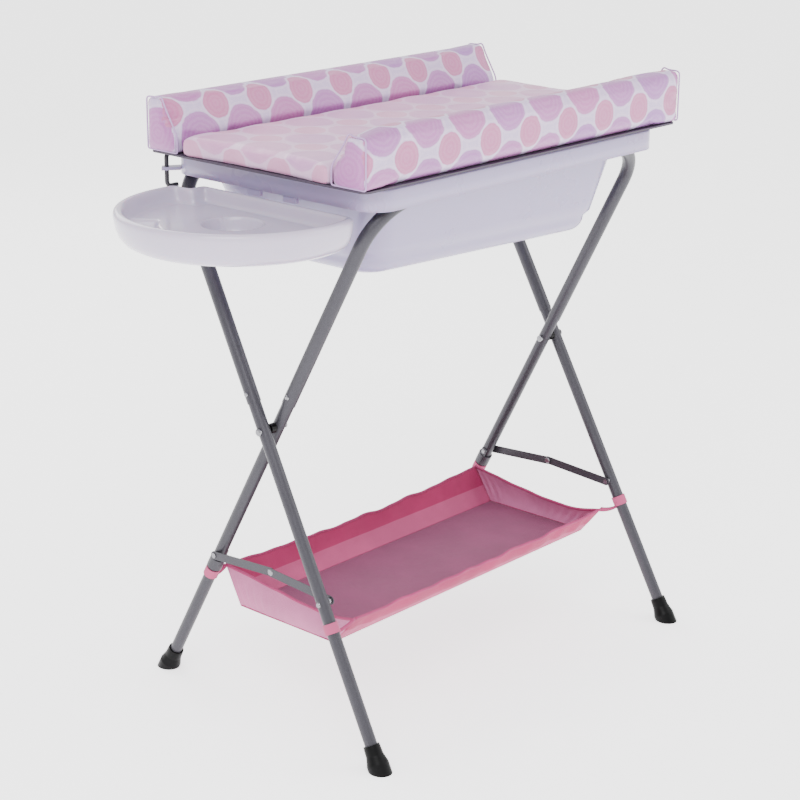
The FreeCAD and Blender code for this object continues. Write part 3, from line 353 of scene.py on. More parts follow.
def print_effect():
    """Printed rounds on a square lattice, one cell to a unit: large ones at whole numbers, small ones
    between, each with a pale outline and faint hand-drawn rings."""
    tree, given, out = effect("round_print", {"Place": "Vector", "Ground": "Color", "Large": "Color",
                                              "Large pink": "Color", "Small": "Color", "Outline": "Color"},
                              {"Color": "Color"})
    wobble = put(tree, "ShaderNodeTexNoise", {"Vector": given["Place"], "Scale": 5.0, "Detail": 2.0})
    shift = vector(tree, "MULTIPLY", vector(tree, "SUBTRACT", wobble.outputs["Color"], (0.5, 0.5, 0.5)),
                   (0.06, 0.06, 0.0))
    place = vector(tree, "ADD", given["Place"], shift)
    ink = cloud(tree, given["Place"], 34.0, 3.0, 0.6)
    colour = given["Ground"]
    lace = cloud(tree, given["Place"], 16.0, 2.0)
    colour = blend(tree, ramp(tree, lace, 0.54, 0.62, 0.0, 0.45), colour, given["Outline"])
    for offset, size_, main, other in ((0.5, 0.412, "Large", "Large pink"), (0.0, 0.262, "Small", "Small")):
        moved = vector(tree, "ADD", place, (offset, offset, offset))
        cell = vector(tree, "FLOOR", moved)
        middle = vector(tree, "SUBTRACT", vector(tree, "FRACTION", moved), (0.5, 0.5, 0.0))
        middle = vector(tree, "MULTIPLY", middle, (1.0, 1.0, 0.0))
        radius = vector(tree, "LENGTH", middle)
        chance = put(tree, "ShaderNodeTexWhiteNoise", {"Vector": cell},
                     noise_dimensions="3D").outputs["Value"]
        tint = blend(tree, chance, given[main], given[other])
        rings = reckon(tree, "SINE", reckon(tree, "ADD", reckon(tree, "MULTIPLY", radius, 74.0),
                                            reckon(tree, "MULTIPLY", ink, 9.0)))
        light = ramp(tree, rings, -1.0, 1.0, 0.0, 0.1)
        tint = blend(tree, light, tint, given["Outline"])
        core = ramp(tree, radius, 0.0, size_, 0.16, 0.0)
        tint = blend(tree, core, tint, given["Large pink"])
        gap = reckon(tree, "ABSOLUTE", reckon(tree, "SUBTRACT", radius, size_ + 0.034))
        outline = ramp(tree, gap, 0.008, 0.022, 0.5, 0.0)
        colour = blend(tree, outline, colour, given["Outline"])
        inside = ramp(tree, radius, size_ - 0.012, size_ + 0.012, 1.0, 0.0)
        colour = blend(tree, inside, colour, tint)
    tree.links.new(colour, out["Color"])
    return tree


GRAIN, TONE, WEAVE, PRINT = grain_effect(), tone_effect(), weave_effect(), print_effect()


def start_finish(name, **constants):
    """A material with its shader, its output and its places; constants go on the shader's own sockets."""
    material = bpy.data.materials.new(name)
    material.use_nodes = True
    tree = material.node_tree
    tree.nodes.clear()
    shader = put(tree, "ShaderNodeBsdfPrincipled", {k.replace("_", " "): v for k, v in constants.items()})
    put(tree, "ShaderNodeOutputMaterial", {"Surface": shader.outputs[0]})
    places = put(tree, "ShaderNodeTexCoord")
    return material, tree, shader, places.outputs


def place_effect(tree, group, **inputs):
    return put(tree, "ShaderNodeGroup", {k.replace("_", " "): v for k, v in inputs.items()},
               node_tree=group).outputs


def moulded(name, colour, roughness, grain=900.0, depth=0.12, waviness=0.05, spread=(0.96, 1.03),
            **constants):
    """Moulded plastic or rubber: a slow tone, a fine skin, and gloss that varies a little."""
    material, tree, shader, places = start_finish(name, **constants)
    toned = place_effect(tree, TONE, Place=places["Object"], Color=colour, Scale=9.0, Least=spread[0],
                         Most=spread[1])
    skin = place_effect(tree, GRAIN, Place=places["Object"], Scale=grain, Depth=depth, Waviness=waviness)
    tree.links.new(toned["Color"], shader.inputs["Base Color"])
    tree.links.new(skin["Normal"], shader.inputs["Normal"])
    tree.links.new(ramp(tree, toned["Value"], 0.3, 0.7, roughness * 0.85, roughness * 1.15),
                   shader.inputs["Roughness"])
    return material


def steel(name, colour, roughness, metallic, flake=0.1, wear=0.0, worn=None, **constants):
    """Painted or bare steel: metallic flake, light scuffs and a soft skin."""
    material, tree, shader, places = start_finish(name, **constants)
    place = places["Object"]
    flakes = cloud(tree, place, 2600.0, 1.0)
    base = blend(tree, ramp(tree, flakes, 0.35, 0.75, 0.0, flake), colour, paint(235, 236, 240))
    toned = place_effect(tree, TONE, Place=place, Color=base, Scale=14.0, Least=0.94, Most=1.05)
    scuffs = ramp(tree, cloud(tree, place, 60.0, 6.0, 0.7), 0.66, 0.74, 0.0, wear)
    worn_colour = blend(tree, scuffs, toned["Color"], worn or colour)
    tree.links.new(worn_colour, shader.inputs["Base Color"])
    tree.links.new(ramp(tree, flakes, 0.3, 0.7, roughness * 0.88, roughness * 1.12),
                   shader.inputs["Roughness"])
    tree.links.new(reckon(tree, "MULTIPLY_ADD", scuffs, 0.2, metallic), shader.inputs["Metallic"])
    skin = place_effect(tree, GRAIN, Place=place, Scale=1400.0, Depth=0.08, Waviness=0.02)
    tree.links.new(skin["Normal"], shader.inputs["Normal"])
    return material


def printed(name, ground, large, pink, small, outline, painted_glare=0.0, glare_colour=None):
    """Coated printed cloth: the rounds, a cloth texture pressed through the coating, and shallow creases.
    With painted_glare, cloudy patches of the print are blended towards glare_colour as a painted highlight,
    standing in for gloss reflection.
    """
    material, tree, shader, places = start_finish(
        name, Specular_IOR_Level=0.45, Coat_Weight=0.22, Coat_Roughness=0.24, Sheen_Weight=0.08)
    rounds = place_effect(tree, PRINT, Place=places["UV"], Ground=ground, Large=large, Large_pink=pink,
                          Small=small, Outline=outline)["Color"]
    # painted highlight: cloudy patches blend the print towards a pale pink, standing in for the lamps'
    # reflection on a glossy top
    if painted_glare:
        painted_glare_patch = cloud(tree, places["Object"], 11.0, 3.0, 0.6)
        rounds = blend(tree, ramp(tree, painted_glare_patch, 0.32, 0.68, painted_glare * 0.72, painted_glare), rounds, glare_colour)
    toned = place_effect(tree, TONE, Place=places["Object"], Color=rounds, Scale=5.0, Least=0.96, Most=1.03)
    tree.links.new(toned["Color"], shader.inputs["Base Color"])
    weave = place_effect(tree, WEAVE, Place=vector(tree, "MULTIPLY", places["UV"], (0.0935, 0.0935, 0.0)),
                         Threads=1100.0)
    creases = cloud(tree, places["Object"], 36.0, 3.0, 0.55)
    first = put(tree, "ShaderNodeBump", {"Strength": 0.28, "Distance": 0.003, "Height": creases})
    second = put(tree, "ShaderNodeBump", {"Strength": 0.12, "Distance": 0.0003, "Height": weave["Height"],
                                          "Normal": first.outputs[0]})
    tree.links.new(second.outputs[0], shader.inputs["Normal"])
    tree.links.new(ramp(tree, creases, 0.3, 0.7, 0.34, 0.46), shader.inputs["Roughness"])
    return material


def woven(name, colour, upper=None, border=0.0, threads=560.0):
    """Woven cloth: threads in height and tone; above the border share of V it takes the upper colour."""
    material, tree, shader, places = start_finish(
        name, Specular_IOR_Level=0.15, Sheen_Weight=0.08, Sheen_Roughness=0.5)
    base = colour
    if upper:
        height = put(tree, "ShaderNodeSeparateXYZ", {0: places["UV"]}).outputs["Y"]
        base = blend(tree, ramp(tree, height, border - 0.0006, border + 0.0006), colour, upper)
    toned = place_effect(tree, TONE, Place=places["Object"], Color=base, Scale=12.0, Least=0.9, Most=1.06)
    weave = place_effect(tree, WEAVE, Place=places["UV"], Threads=threads)
    share = put(tree, "ShaderNodeCombineColor", {"Red": weave["Share"], "Green": weave["Share"],
                                                 "Blue": weave["Share"]}).outputs[0]
    tree.links.new(blend(tree, 1.0, toned["Color"], share, "MULTIPLY"), shader.inputs["Base Color"])
    puckers = cloud(tree, places["Object"], 55.0, 2.0)
    first = put(tree, "ShaderNodeBump", {"Strength": 0.35, "Distance": 0.002, "Height": puckers})
    second = put(tree, "ShaderNodeBump", {"Strength": 0.5, "Distance": 0.0005, "Height": weave["Height"],
                                          "Normal": first.outputs[0]})
    tree.links.new(second.outputs[0], shader.inputs["Normal"])
    tree.links.new(ramp(tree, toned["Value"], 0.3, 0.7, 0.72, 0.86), shader.inputs["Roughness"])
    return material


PAINTED_STEEL = steel("painted_steel", paint(52, 50, 57), 0.4, 0.4, flake=0.05, wear=0.12,
                      worn=paint(90, 88, 95), Coat_Weight=0.1, Coat_Roughness=0.2,
                      Specular_IOR_Level=0.3)
BARE_STEEL = steel("bare_steel", paint(130, 129, 134), 0.24, 0.85, flake=0.08, wear=0.3,
                   worn=paint(150, 148, 146))
DARK_STEEL = steel("dark_steel", paint(46, 43, 48), 0.42, 0.6, flake=0.06, wear=0.3,
                   worn=paint(128, 124, 128))
BLACK_PLASTIC = moulded("black_plastic", paint(8, 8, 9), 0.42, spread=(0.85, 1.15), Specular_IOR_Level=0.15)
BOOT_RUBBER = moulded("boot_rubber", paint(6, 6, 7), 0.4, grain=1500.0, depth=0.2, spread=(0.8, 1.25),
                      Specular_IOR_Level=0.12)
BUMPER_RUBBER = moulded("bumper_rubber", paint(205, 202, 208), 0.6)
BATH_PLASTIC = moulded("bath_plastic", paint(154, 143, 178), 0.3, grain=700.0, depth=0.05, waviness=0.05,
                       spread=(0.97, 1.01), Coat_Weight=0.2, Coat_Roughness=0.12, Subsurface_Weight=0.12,
                       Subsurface_Scale=0.02)
TRAY_PLASTIC = moulded("tray_plastic", paint(186, 176, 198), 0.22, grain=700.0, depth=0.04, waviness=0.05,
                       spread=(0.98, 1.01), Coat_Weight=0.35, Coat_Roughness=0.08, Subsurface_Weight=0.12,
                       Subsurface_Scale=0.02)
DRAIN_PLASTIC = moulded("drain_plastic", paint(176, 172, 184), 0.35)
BOARD_PLASTIC = moulded("board_plastic", paint(62, 52, 68), 0.55, grain=500.0, depth=0.2)
PRINT_COLOURS = (paint(190, 170, 206), paint(152, 96, 170), paint(176, 96, 156), paint(182, 100, 146),
                 paint(208, 188, 214))
PRINTED_VINYL = printed("printed_vinyl", *PRINT_COLOURS)
# the mat's top carries a painted highlight: patches of its print are washed towards pale pink in place of
# gloss reflection
MAT_VINYL = printed("mat_vinyl", *PRINT_COLOURS, painted_glare=0.6, glare_colour=paint(224, 170, 202))
BASKET_CLOTH = woven("basket_cloth", paint(186, 84, 124), upper=paint(168, 52, 96), border=0.034)
PALE_CLOTH = woven("basket_pale_cloth", paint(196, 116, 156), threads=480.0)
BASE_CLOTH = woven("basket_base_cloth", paint(132, 66, 98), threads=640.0)
HEM_CLOTH = woven("basket_hem_cloth", paint(166, 62, 106), threads=700.0)
WELT_VINYL = moulded("welt_vinyl", paint(176, 142, 190), 0.4, grain=1600.0, depth=0.15)

CAD_FINISHES = {
    "painted_steel": PAINTED_STEEL, "bare_steel": BARE_STEEL, "dark_steel": DARK_STEEL,
    "black_plastic": BLACK_PLASTIC, "boot_rubber": BOOT_RUBBER, "bumper_rubber": BUMPER_RUBBER,
    "bath_plastic": BATH_PLASTIC, "tray_plastic": TRAY_PLASTIC, "drain_plastic": DRAIN_PLASTIC,
    "board_plastic": BOARD_PLASTIC, "printed_vinyl": PRINTED_VINYL, "basket_cloth": BASKET_CLOTH,
    "basket_pale_cloth": PALE_CLOTH, "basket_base_cloth": BASE_CLOTH,
}


def dress_cad():
    """Give each CAD node the finish of its material slot in the record."""
    for part in frame["record"]["subparts"]:
        shape = frame["nodes"][part["node"]]
        shape.data.materials.clear()
        shape.data.materials.append(CAD_FINISHES[part["material_slot"]])


dress_cad()


# ---- moulded bath and tray ----------------------------------------------------------------------

def smooth(value, low, high):
    """0 below low, 1 above high, and 3t^2 - 2t^3 between."""
    t = np.clip((value - low) / (high - low), 0, 1)
    return t * t * (3 - 2 * t)


def rounded_ring(left, right, half, corner, steps=14):
    """Rounded rectangle in plan: a quarter circle at each corner, with points along the sides."""
    a = np.linspace(0, math.pi / 2, steps)
    arcs = []
    for k, (x, y) in enumerate(((right - corner, half - corner), (left + corner, half - corner),
                                (left + corner, corner - half), (right - corner, corner - half))):
        turn = a + k * math.pi / 2
        arcs.append(np.stack([x + corner * np.cos(turn), y + corner * np.sin(turn)], 1))
    sides = [start[-1] + np.linspace(0, 1, 14)[1:-1, None] * (end[0] - start[-1])
             for start, end in zip(arcs, arcs[1:] + arcs[:1])]
    return np.concatenate([part for pair in zip(arcs, sides) for part in pair])


RIM_HIGH = span("tub")[1]
RIM_X, RIM_Y = 0.345, RIM_HIGH[1]
SKIRT, WALL, FALL = 0.033, 0.003, 0.036      # skirt depth, thickness, and fall of the basin to its drain end
BASIN_TOP = (-0.331, 0.312, 0.186, 0.066)     # left, right, half width and corner at the rim
BASIN_FOOT = (-0.273, 0.283, 0.134, 0.050)    # the same where the walls meet the bottom
BASIN_Z, FOOT_ROUND = 0.7245, 0.024


def tub():
    """Rings carried from the basin's middle up its wall, over the rim, down and up inside the skirt,
    and back under the basin. Ring height = level - fall * x * (share of the way down)."""
    top, foot = np.array(BASIN_TOP), np.array(BASIN_FOOT)
    grow = np.array([-1, 1, 1, 1.0])
    rings = []

    def wall(share, out, z_shift=0.0):
        size_ = foot + share * (top - foot) + grow * out
        level = BASIN_Z + share * (RIM_HIGH[2] - BASIN_Z) + z_shift
        line = rounded_ring(*size_)
        rings.append(np.column_stack([line, level - FALL * line[:, 0] * (1 - share)]))

    def bottom(factor, out, z_shift):
        line = rounded_ring(*(foot + grow * (out - FOOT_ROUND))) * factor
        rings.append(np.column_stack([line, BASIN_Z + z_shift - FALL * line[:, 0]]))

    def flat(out, z):
        line = rounded_ring(-RIM_X - out, RIM_X + out, RIM_Y + out, 0.040 + out)
        rings.append(np.column_stack([line, np.full(len(line), z)]))

    turn = np.linspace(0, math.pi / 2, 7)
    lip = 0.004
    for factor in (0.001, 0.15, 0.3, 0.45, 0.6, 0.75, 0.9):
        bottom(factor, 0.0, 0.0)
    for a in turn:
        wall(0.0, -FOOT_ROUND * (1 - math.sin(a)), FOOT_ROUND * (1 - math.cos(a)))
    for share in np.linspace(0.2, 0.96, 9):
        wall(share, 0.0)
    for a in turn[1:]:
        wall(1.0, lip * (1 - math.cos(a)), -lip * (1 - math.sin(a)))
    for a in turn:
        flat(-lip * (1 - math.sin(a)), RIM_HIGH[2] - lip * (1 - math.cos(a)))
    for z in (SKIRT * 0.5, SKIRT):
        flat(0.0, RIM_HIGH[2] - z)
    for out, z in ((-WALL, SKIRT), (-WALL, SKIRT * 0.5), (-WALL, WALL * 1.3)):
        flat(out, RIM_HIGH[2] - z)
    for share in np.linspace(0.97, 0.2, 9):
        wall(share, WALL)
    for a in turn[::-1]:
        outer = FOOT_ROUND + WALL
        wall(0.0, WALL - outer * (1 - math.sin(a)), outer * (1 - math.cos(a)) - WALL)
    for factor in (0.9, 0.75, 0.6, 0.45, 0.3, 0.15, 0.001):
        bottom(factor, 0.0, -WALL)
    points = np.array(rings)
    points[..., 0] += MIDDLE
    count = points.shape[1]
    faces = list(grid_faces(len(points), count, True))
    faces += [list(range(count)), list(range(len(points) * count - 1, (len(points) - 1) * count - 1, -1))]
    piece = outward(make_piece("bath_shell", points.reshape(-1, 3), faces, BATH_PLASTIC))
    # the drain's hole
    low, high = span("drain_ring")
    drain = np.array([(low[0] + high[0]) / 2, (low[1] + high[1]) / 2])
    a = np.linspace(0, 2 * math.pi, 48, endpoint=False)
    ends = [np.column_stack([drain + 0.0165 * np.stack([np.cos(a), np.sin(a)], 1), np.full(48, z)])
            for z in (0.69, 0.76)]
    faces = list(grid_faces(2, 48, True)) + [list(range(48)), list(range(95, 47, -1))]
    cutter = outward(make_piece("drain_cutter", np.concatenate(ends), faces, BATH_PLASTIC))
    hole = piece.modifiers.new("hole", "BOOLEAN")
    hole.operation, hole.object, hole.solver = "DIFFERENCE", cutter, "EXACT"
    apply_modifiers(piece)
    bpy.data.objects.remove(cutter)
    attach(piece, "bath")
    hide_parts("tub")


TRAY_LOW, TRAY_HIGH = span("tray")
TRAY_RADIUS = max(TRAY_HIGH[1], -TRAY_LOW[1])
TRAY_MIDDLE = TRAY_LOW[0] - MIDDLE + TRAY_RADIUS


def tray():
    """The plan outline shrunk towards its middle ring by ring: under the tray, up its side, over a
    rolled edge, and in over the shelf, which dips for the cup and along the front for soap."""
    solid = coordinates(frame["nodes"]["tray"].data) - np.array([MIDDLE, 0, 0])
    edge = -RIM_X - 0.0005
    far_side = 0.16                       # beyond this the outline steps back for the leg
    notch_x = solid[solid[:, 1] > far_side][:, 0].max()
    notch_y = solid[(solid[:, 0] > notch_x + 0.006) & (solid[:, 1] > 0)][:, 1].max()
    a = np.linspace(0, 2 * math.pi, 720, endpoint=False)
    x = TRAY_MIDDLE + TRAY_RADIUS * np.cos(a)
    y = TRAY_RADIUS * np.sin(a)
    plan = np.stack([np.minimum(x, np.where(y > notch_y, notch_x, edge)), y], 1)
    plan = evenly(plan, 240)
    for _ in range(3):
        plan = (np.roll(plan, 1, 0) + 2 * plan + np.roll(plan, -1, 0)) / 4
    middle = np.array([TRAY_MIDDLE - 0.005, 0.0])
    top, base = TRAY_HIGH[2], TRAY_LOW[2]
    under = [(0.168, 0.002), (0.12, 0.002), (0.08, 0.001), (0.05, 0.0), (0.030, 0.0), (0.020, 0.002),
             (0.012, 0.007), (0.006, 0.015), (0.002, 0.027), (0.0, 0.040)]
    over = [(0.0, 0.046), (0.001, 0.049), (0.003, 0.051), (0.006, 0.052), (0.009, 0.0515), (0.012, 0.049),
            (0.014, 0.044), (0.0155, 0.036), (0.018, 0.031), (0.022, 0.0285)]
    shelf = [(d, 0.028) for d in np.linspace(0.026, 0.1695, 64)]
    rings = []
    for inset, lift in under + over + shelf:
        line = middle + (plan - middle) * (1 - inset / 0.170)
        z = np.full(len(line), base + lift)
        if inset > 0.0215 and (inset, lift) not in under:
            away = np.hypot(line[:, 0] - (TRAY_MIDDLE - 0.015), line[:, 1])
            reach = np.hypot(line[:, 0] - TRAY_MIDDLE, line[:, 1])
            front = np.abs(np.arctan2(line[:, 1], -(line[:, 0] - TRAY_MIDDLE)))
            z -= 0.022 * smooth(-away, -0.046, -0.039)
            z -= (0.016 * smooth(reach, 0.119, 0.127) * smooth(-front, -0.94, -0.86)
                  * smooth(away, 0.046, 0.056))
        rings.append(np.column_stack([line[:, 0] + MIDDLE, line[:, 1], z]))
    points = np.array(rings)
    count = points.shape[1]
    faces = list(grid_faces(len(points), count, True))
    faces += [list(range(count)), list(range(len(points) * count - 1, (len(points) - 1) * count - 1, -1))]
    piece = outward(make_piece("toiletries_tray", points.reshape(-1, 3), faces, TRAY_PLASTIC))
    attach(piece, "bath")
    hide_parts("tray")


tub()
tray()


# ---- padded top -------------------------------------------------------------------------------

PITCH = 0.0935            # from one large round to the next, along and across
BOLSTER_LOW, BOLSTER_HIGH = span("near_bolster")
MAT_HIGH = span("mat_cushion")[1]
PAD_END = (BOLSTER_HIGH[0] - BOLSTER_LOW[0]) / 2
PAD_SIDE = -BOLSTER_LOW[1]
BASE, TOP, MAT_TOP = BOLSTER_LOW[2], BOLSTER_HIGH[2], MAT_HIGH[2]
BOLSTER_IN = -BOLSTER_HIGH[1]


def stuffed_bar(name, outline, half, round_end, finish, stations=70, across=96):
    """The outline carried along X. Near each end it shrinks towards its middle along a quarter circle,
    and the end closes in rings."""
    outline = evenly(outline, across)
    centre = outline.mean(0)
    reach = np.linalg.norm(outline - centre, axis=1).mean()
    a = np.linspace(0, math.pi / 2, 5)
    turn_x, turn_f = half - round_end + round_end * np.sin(a), 1 - round_end / reach * (1 - np.cos(a))
    inner_f = np.array([0.7, 0.45, 0.22, 0.0]) * turn_f[-1]
    right_x = np.concatenate([turn_x, np.full(4, half)])
    right_f = np.concatenate([turn_f, inner_f])
    middle_x = np.linspace(-(half - round_end), half - round_end, stations)[1:-1]
    x = np.concatenate([-right_x[::-1], middle_x, right_x])
    f = np.concatenate([right_f[::-1], np.ones(len(middle_x)), right_f])
    section = centre + (outline - centre)[None] * f[:, None, None]
    place = np.broadcast_to(x[:, None, None] + MIDDLE, section.shape[:2] + (1,))
    points = np.concatenate([place, section], -1)
    piece = grid_piece(name, points, finish, loop=True)
    return outward(piece)


def along_outline(points, outline):
    """How far round the outline the nearest place to each (y, z) point lies, in metres."""
    ends = np.roll(outline, -1, 0)
    way = ends - outline
    length = np.linalg.norm(way, axis=1)
    run = np.concatenate([[0], np.cumsum(length)[:-1]])
    share = np.einsum("nmk,mk->nm", points[:, None] - outline[None], way) / length ** 2
    share = np.clip(share, 0, 1)
    near = outline[None] + share[..., None] * way[None]
    gap = np.linalg.norm(points[:, None] - near, axis=2)
    best = gap.argmin(1)
    rows = np.arange(len(points))
    return run[best] + share[rows, best] * length[best], length.sum()


def lay_print(piece, cover, cap):
    """UV in cells of the print, face corner by face corner. Faces that look along X take cap(y, z), and
    the rest take cover(points)."""
    mesh = piece.data
    points = coordinates(mesh)
    corner = np.empty(len(mesh.loops), np.int32)
    mesh.loops.foreach_get("vertex_index", corner)
    normals = np.empty(len(mesh.polygons) * 3)
    mesh.polygons.foreach_get("normal", normals)
    sizes = np.empty(len(mesh.polygons), np.int32)
    mesh.polygons.foreach_get("loop_total", sizes)
    face = np.repeat(np.arange(len(mesh.polygons)), sizes)
    ends = np.abs(normals.reshape(-1, 3)[:, 0]) > 0.75
    main, whole = cover(points)
    uv = main[corner]
    if whole:
        low = np.full(len(sizes), 1e9)
        np.minimum.at(low, face, uv[:, 1])
        uv[:, 1] = np.where(uv[:, 1] - low[face] > whole / 2, uv[:, 1] - whole, uv[:, 1])
    at_end = ends[face]
    uv[at_end] = cap(points[corner[at_end]])
    layer = mesh.uv_layers.get("cloth") or mesh.uv_layers.new(name="cloth")
    layer.data.foreach_set("uv", uv.astype(np.float32).ravel())


def bolster(name, way):
    """A foam bar with an upright outer side, a narrow top and an inner side that slopes to the mat."""
    slack = 0.003
    corners = np.array([(BOLSTER_IN, BASE), (PAD_SIDE, BASE), (PAD_SIDE, TOP), (PAD_SIDE - 0.035, TOP),
                        (BOLSTER_IN, MAT_TOP)])
    shrunk = corners + np.array([(slack, 0), (-slack, 0), (-slack, -slack), (slack * 0.3, -slack),
                                 (slack, -slack * 0.4)])
    outline = rounded_outline(shrunk, [0.006, 0.006, 0.011, 0.013, 0.012])
    outline[:, 0] *= way
    ideal = corners.copy()
    ideal[:, 0] *= way
    piece = stuff(stuffed_bar(name, outline, PAD_END - 0.003, 0.008, PRINTED_VINYL), 0.0045, 4.0, 0.0055)
    points = coordinates(piece.data)
    x, y, z = points[:, 0] - MIDDLE, points[:, 1] * way, points[:, 2]
    # pinched corners of the cover stand up at the ends, and the cover droops a little between them
    end = np.exp(-((PAD_END - np.abs(x)) / 0.012) ** 2)
    high = np.clip((z - MAT_TOP) / (TOP - MAT_TOP), 0, 1)
    droop = np.exp(-((PAD_END - np.abs(x)) / 0.045) ** 2) * high
    ears = np.exp(-((y - (PAD_SIDE - 0.034)) / 0.006) ** 2) + 0.6 * np.exp(-((y - PAD_SIDE) / 0.006) ** 2)
    z += 0.004 * end * ears * high - (0.012 if way < 0 else 0.005) * droop * (x < 0) - 0.004 * droop * (x > 0)
    # gathers that run in from the ends and along the lower edge
    gather = np.exp(-(PAD_END - np.abs(x)) / 0.05)
    ripple = np.sin(z * 260 + np.sign(x) * 1.3) * np.sin(x * 90 + z * 60)
    y += 0.0012 * gather * ripple * (np.abs(x) < PAD_END - 0.004)
    z = np.maximum(z, BASE)
    y = np.where(z < MAT_TOP + 0.004, np.maximum(y, BOLSTER_IN + 0.0002), y)
    y = np.minimum(y, PAD_SIDE + 0.004)
    set_coordinates(piece.data, np.stack([x + MIDDLE, y * way, z], 1))
    run_of = along_outline(np.array([[way * PAD_SIDE, BASE]]), ideal)[0][0]
    if way < 0:
        start = run_of + (0.884 - BASE)          # a row of large rounds sits at the lower edge
        phase = -0.06475
    else:
        slope_top = run_of + (TOP - BASE) + 0.035
        slope = math.hypot(BOLSTER_IN - (PAD_SIDE - 0.035), TOP - MAT_TOP)
        start = slope_top + slope - 0.041 - PITCH / 2
        phase = -0.003 - PITCH / 2

    def cover(points):
        run, total = along_outline(points[:, 1:], ideal)
        return np.stack([(points[:, 0] - MIDDLE - phase) / PITCH, (run - start) / PITCH], 1), total / PITCH

    def cap(points):
        return np.stack([(points[:, 1] - way * 0.199) / PITCH, (points[:, 2] - 0.922) / PITCH], 1)

    lay_print(piece, cover, cap)
    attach(piece, "changing_pad")
    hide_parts(name)
    return piece


def mat():
    """The flat cushion between the bolsters: a low crown, softly rounded edges and shallow dents."""
    side = MAT_HIGH[1]
    slack = 0.0025
    corners = np.array([(-side + slack, BASE), (side - slack, BASE), (side - slack, MAT_TOP - slack),
                        (-side + slack, MAT_TOP - slack)])
    outline = rounded_outline(corners, [0.004, 0.004, 0.009, 0.009])
    piece = stuff(stuffed_bar("mat", outline, PAD_END - 0.003, 0.006, MAT_VINYL, 90, 120), 0.005, 4.0, 0.005)
    points = coordinates(piece.data)
    x, y, z = points[:, 0] - MIDDLE, points[:, 1], points[:, 2]
    up = np.clip((z - BASE - 0.010) / 0.012, 0, 1)
    dents = 0.5 * np.sin(x * 38 + 1.9 * np.sin(y * 21)) * np.sin(y * 30 + 1.1 * np.sin(x * 17))
    dents += 0.5 * np.sin(x * 71 + y * 43)
    z = z + 0.0011 * up * dents * np.clip((PAD_END - np.abs(x)) / 0.04, 0, 1)
    z = np.maximum(z, BASE)
    y = np.clip(y, -side, side)
    set_coordinates(piece.data, np.stack([x + MIDDLE, y, z], 1))
    phase, row = -0.400, 0.0437           # a large round's middle, along and across

    def cover(points):
        return np.stack([(points[:, 0] - MIDDLE - phase) / PITCH + 0.5,
                         (points[:, 1] - row) / PITCH + 0.5], 1), 0.0

    def cap(points):
        x = points[:, 0] - MIDDLE
        x = x + np.sign(x) * (MAT_TOP - points[:, 2])
        return np.stack([(x - phase) / PITCH + 0.5, (points[:, 1] - row) / PITCH + 0.5], 1)

    lay_print(piece, cover, cap)
    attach(piece, "changing_pad")
    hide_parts("mat_cushion")
    return piece


def end_welts():
    """Thin sewn welts round the end of each bolster."""
    made = []
    for way in (-1, 1):
        for end in (-1, 1):
            corners = np.array([(BOLSTER_IN + 0.001, BASE + 0.002), (PAD_SIDE - 0.0015, BASE + 0.002),
                                (PAD_SIDE - 0.0015, TOP - 0.004), (PAD_SIDE - 0.034, TOP - 0.003),
                                (BOLSTER_IN + 0.001, MAT_TOP + 0.001)])
            line = evenly(rounded_outline(corners, [0.004, 0.004, 0.007, 0.009, 0.01]), 120)
            drop = (0.012 if way < 0 else 0.005) if end < 0 else 0.004
            high = np.clip((line[:, 1] - MAT_TOP) / (TOP - MAT_TOP), 0, 1)
            ears = np.exp(-((line[:, 0] - (PAD_SIDE - 0.034)) / 0.006) ** 2)
            z = line[:, 1] - drop * high + 0.004 * ears * high
            x = np.full(len(line), MIDDLE + end * (PAD_END - 0.0022))
            path = np.stack([x, line[:, 0] * way, z], 1)
            name = "welt_%s_%s" % ("near" if way < 0 else "far", "left" if end < 0 else "right")
            welt = tube_along(name, path, 0.0013, WELT_VINYL, 8, closed=True, uv_scale=1 / PITCH)
            made.append(welt)
    whole = join_pieces("bolster_welts", made)
    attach(whole, "changing_pad")


for cover_name, cover_way in (("near_bolster", -1), ("far_bolster", 1)):
    shape = bolster(cover_name, cover_way)
    shape.name = cover_name + "_cover"
mat()
end_welts()


# ---- cloth basket -----------------------------------------------------------------------------

FLOOR_Z = span("basket_floor")[1][2]
FLOOR_X, FLOOR_Y = 0.321, 0.104
HEM_X = 0.318
HEM = {-1: (0.148, 0.200), 1: (0.140, 0.209)}      # reach and height of the near and far hems
CLOTH = 0.0012


def hem_line(side, count=120):
    """The top edge of one wall, from corner to corner: low in the middle, with small ripples."""
    s = np.linspace(0, 1, count)
    arch = 4 * s * (1 - s)
    if side in ("near", "far"):
        way = -1 if side == "near" else 1
        reach, level = HEM[way]
        x = HEM_X * (2 * s - 1)
        y = way * (reach - 0.006 * arch + 0.0016 * np.sin(x * 61 + way) * arch)
        ripple = 0.0012 * np.sin(x * 47 + 2 * way) + 0.0008 * np.sin(x * 111)
        z = level - 0.007 * arch ** 0.8 + arch ** 0.5 * ripple
    else:
        way = -1 if side == "left" else 1
        y = -HEM[-1][0] + s * (HEM[-1][0] + HEM[1][0])
        sag = np.interp(s, [0, 0.12, 0.3, 0.55, 0.8, 1], [0, 0.75, 1.0, 0.75, 0.35, 0])
        sag = np.convolve(np.pad(sag, 9, mode="edge"), np.ones(19) / 19, "valid")
        sag[0] = sag[-1] = 0
        x = way * (HEM_X - 0.004 * arch)
        z = HEM[-1][1] + s * (HEM[1][1] - HEM[-1][1]) - 0.016 * sag + 0.0006 * np.sin(y * 90) * arch
    return np.stack([x + MIDDLE, y, z], 1)


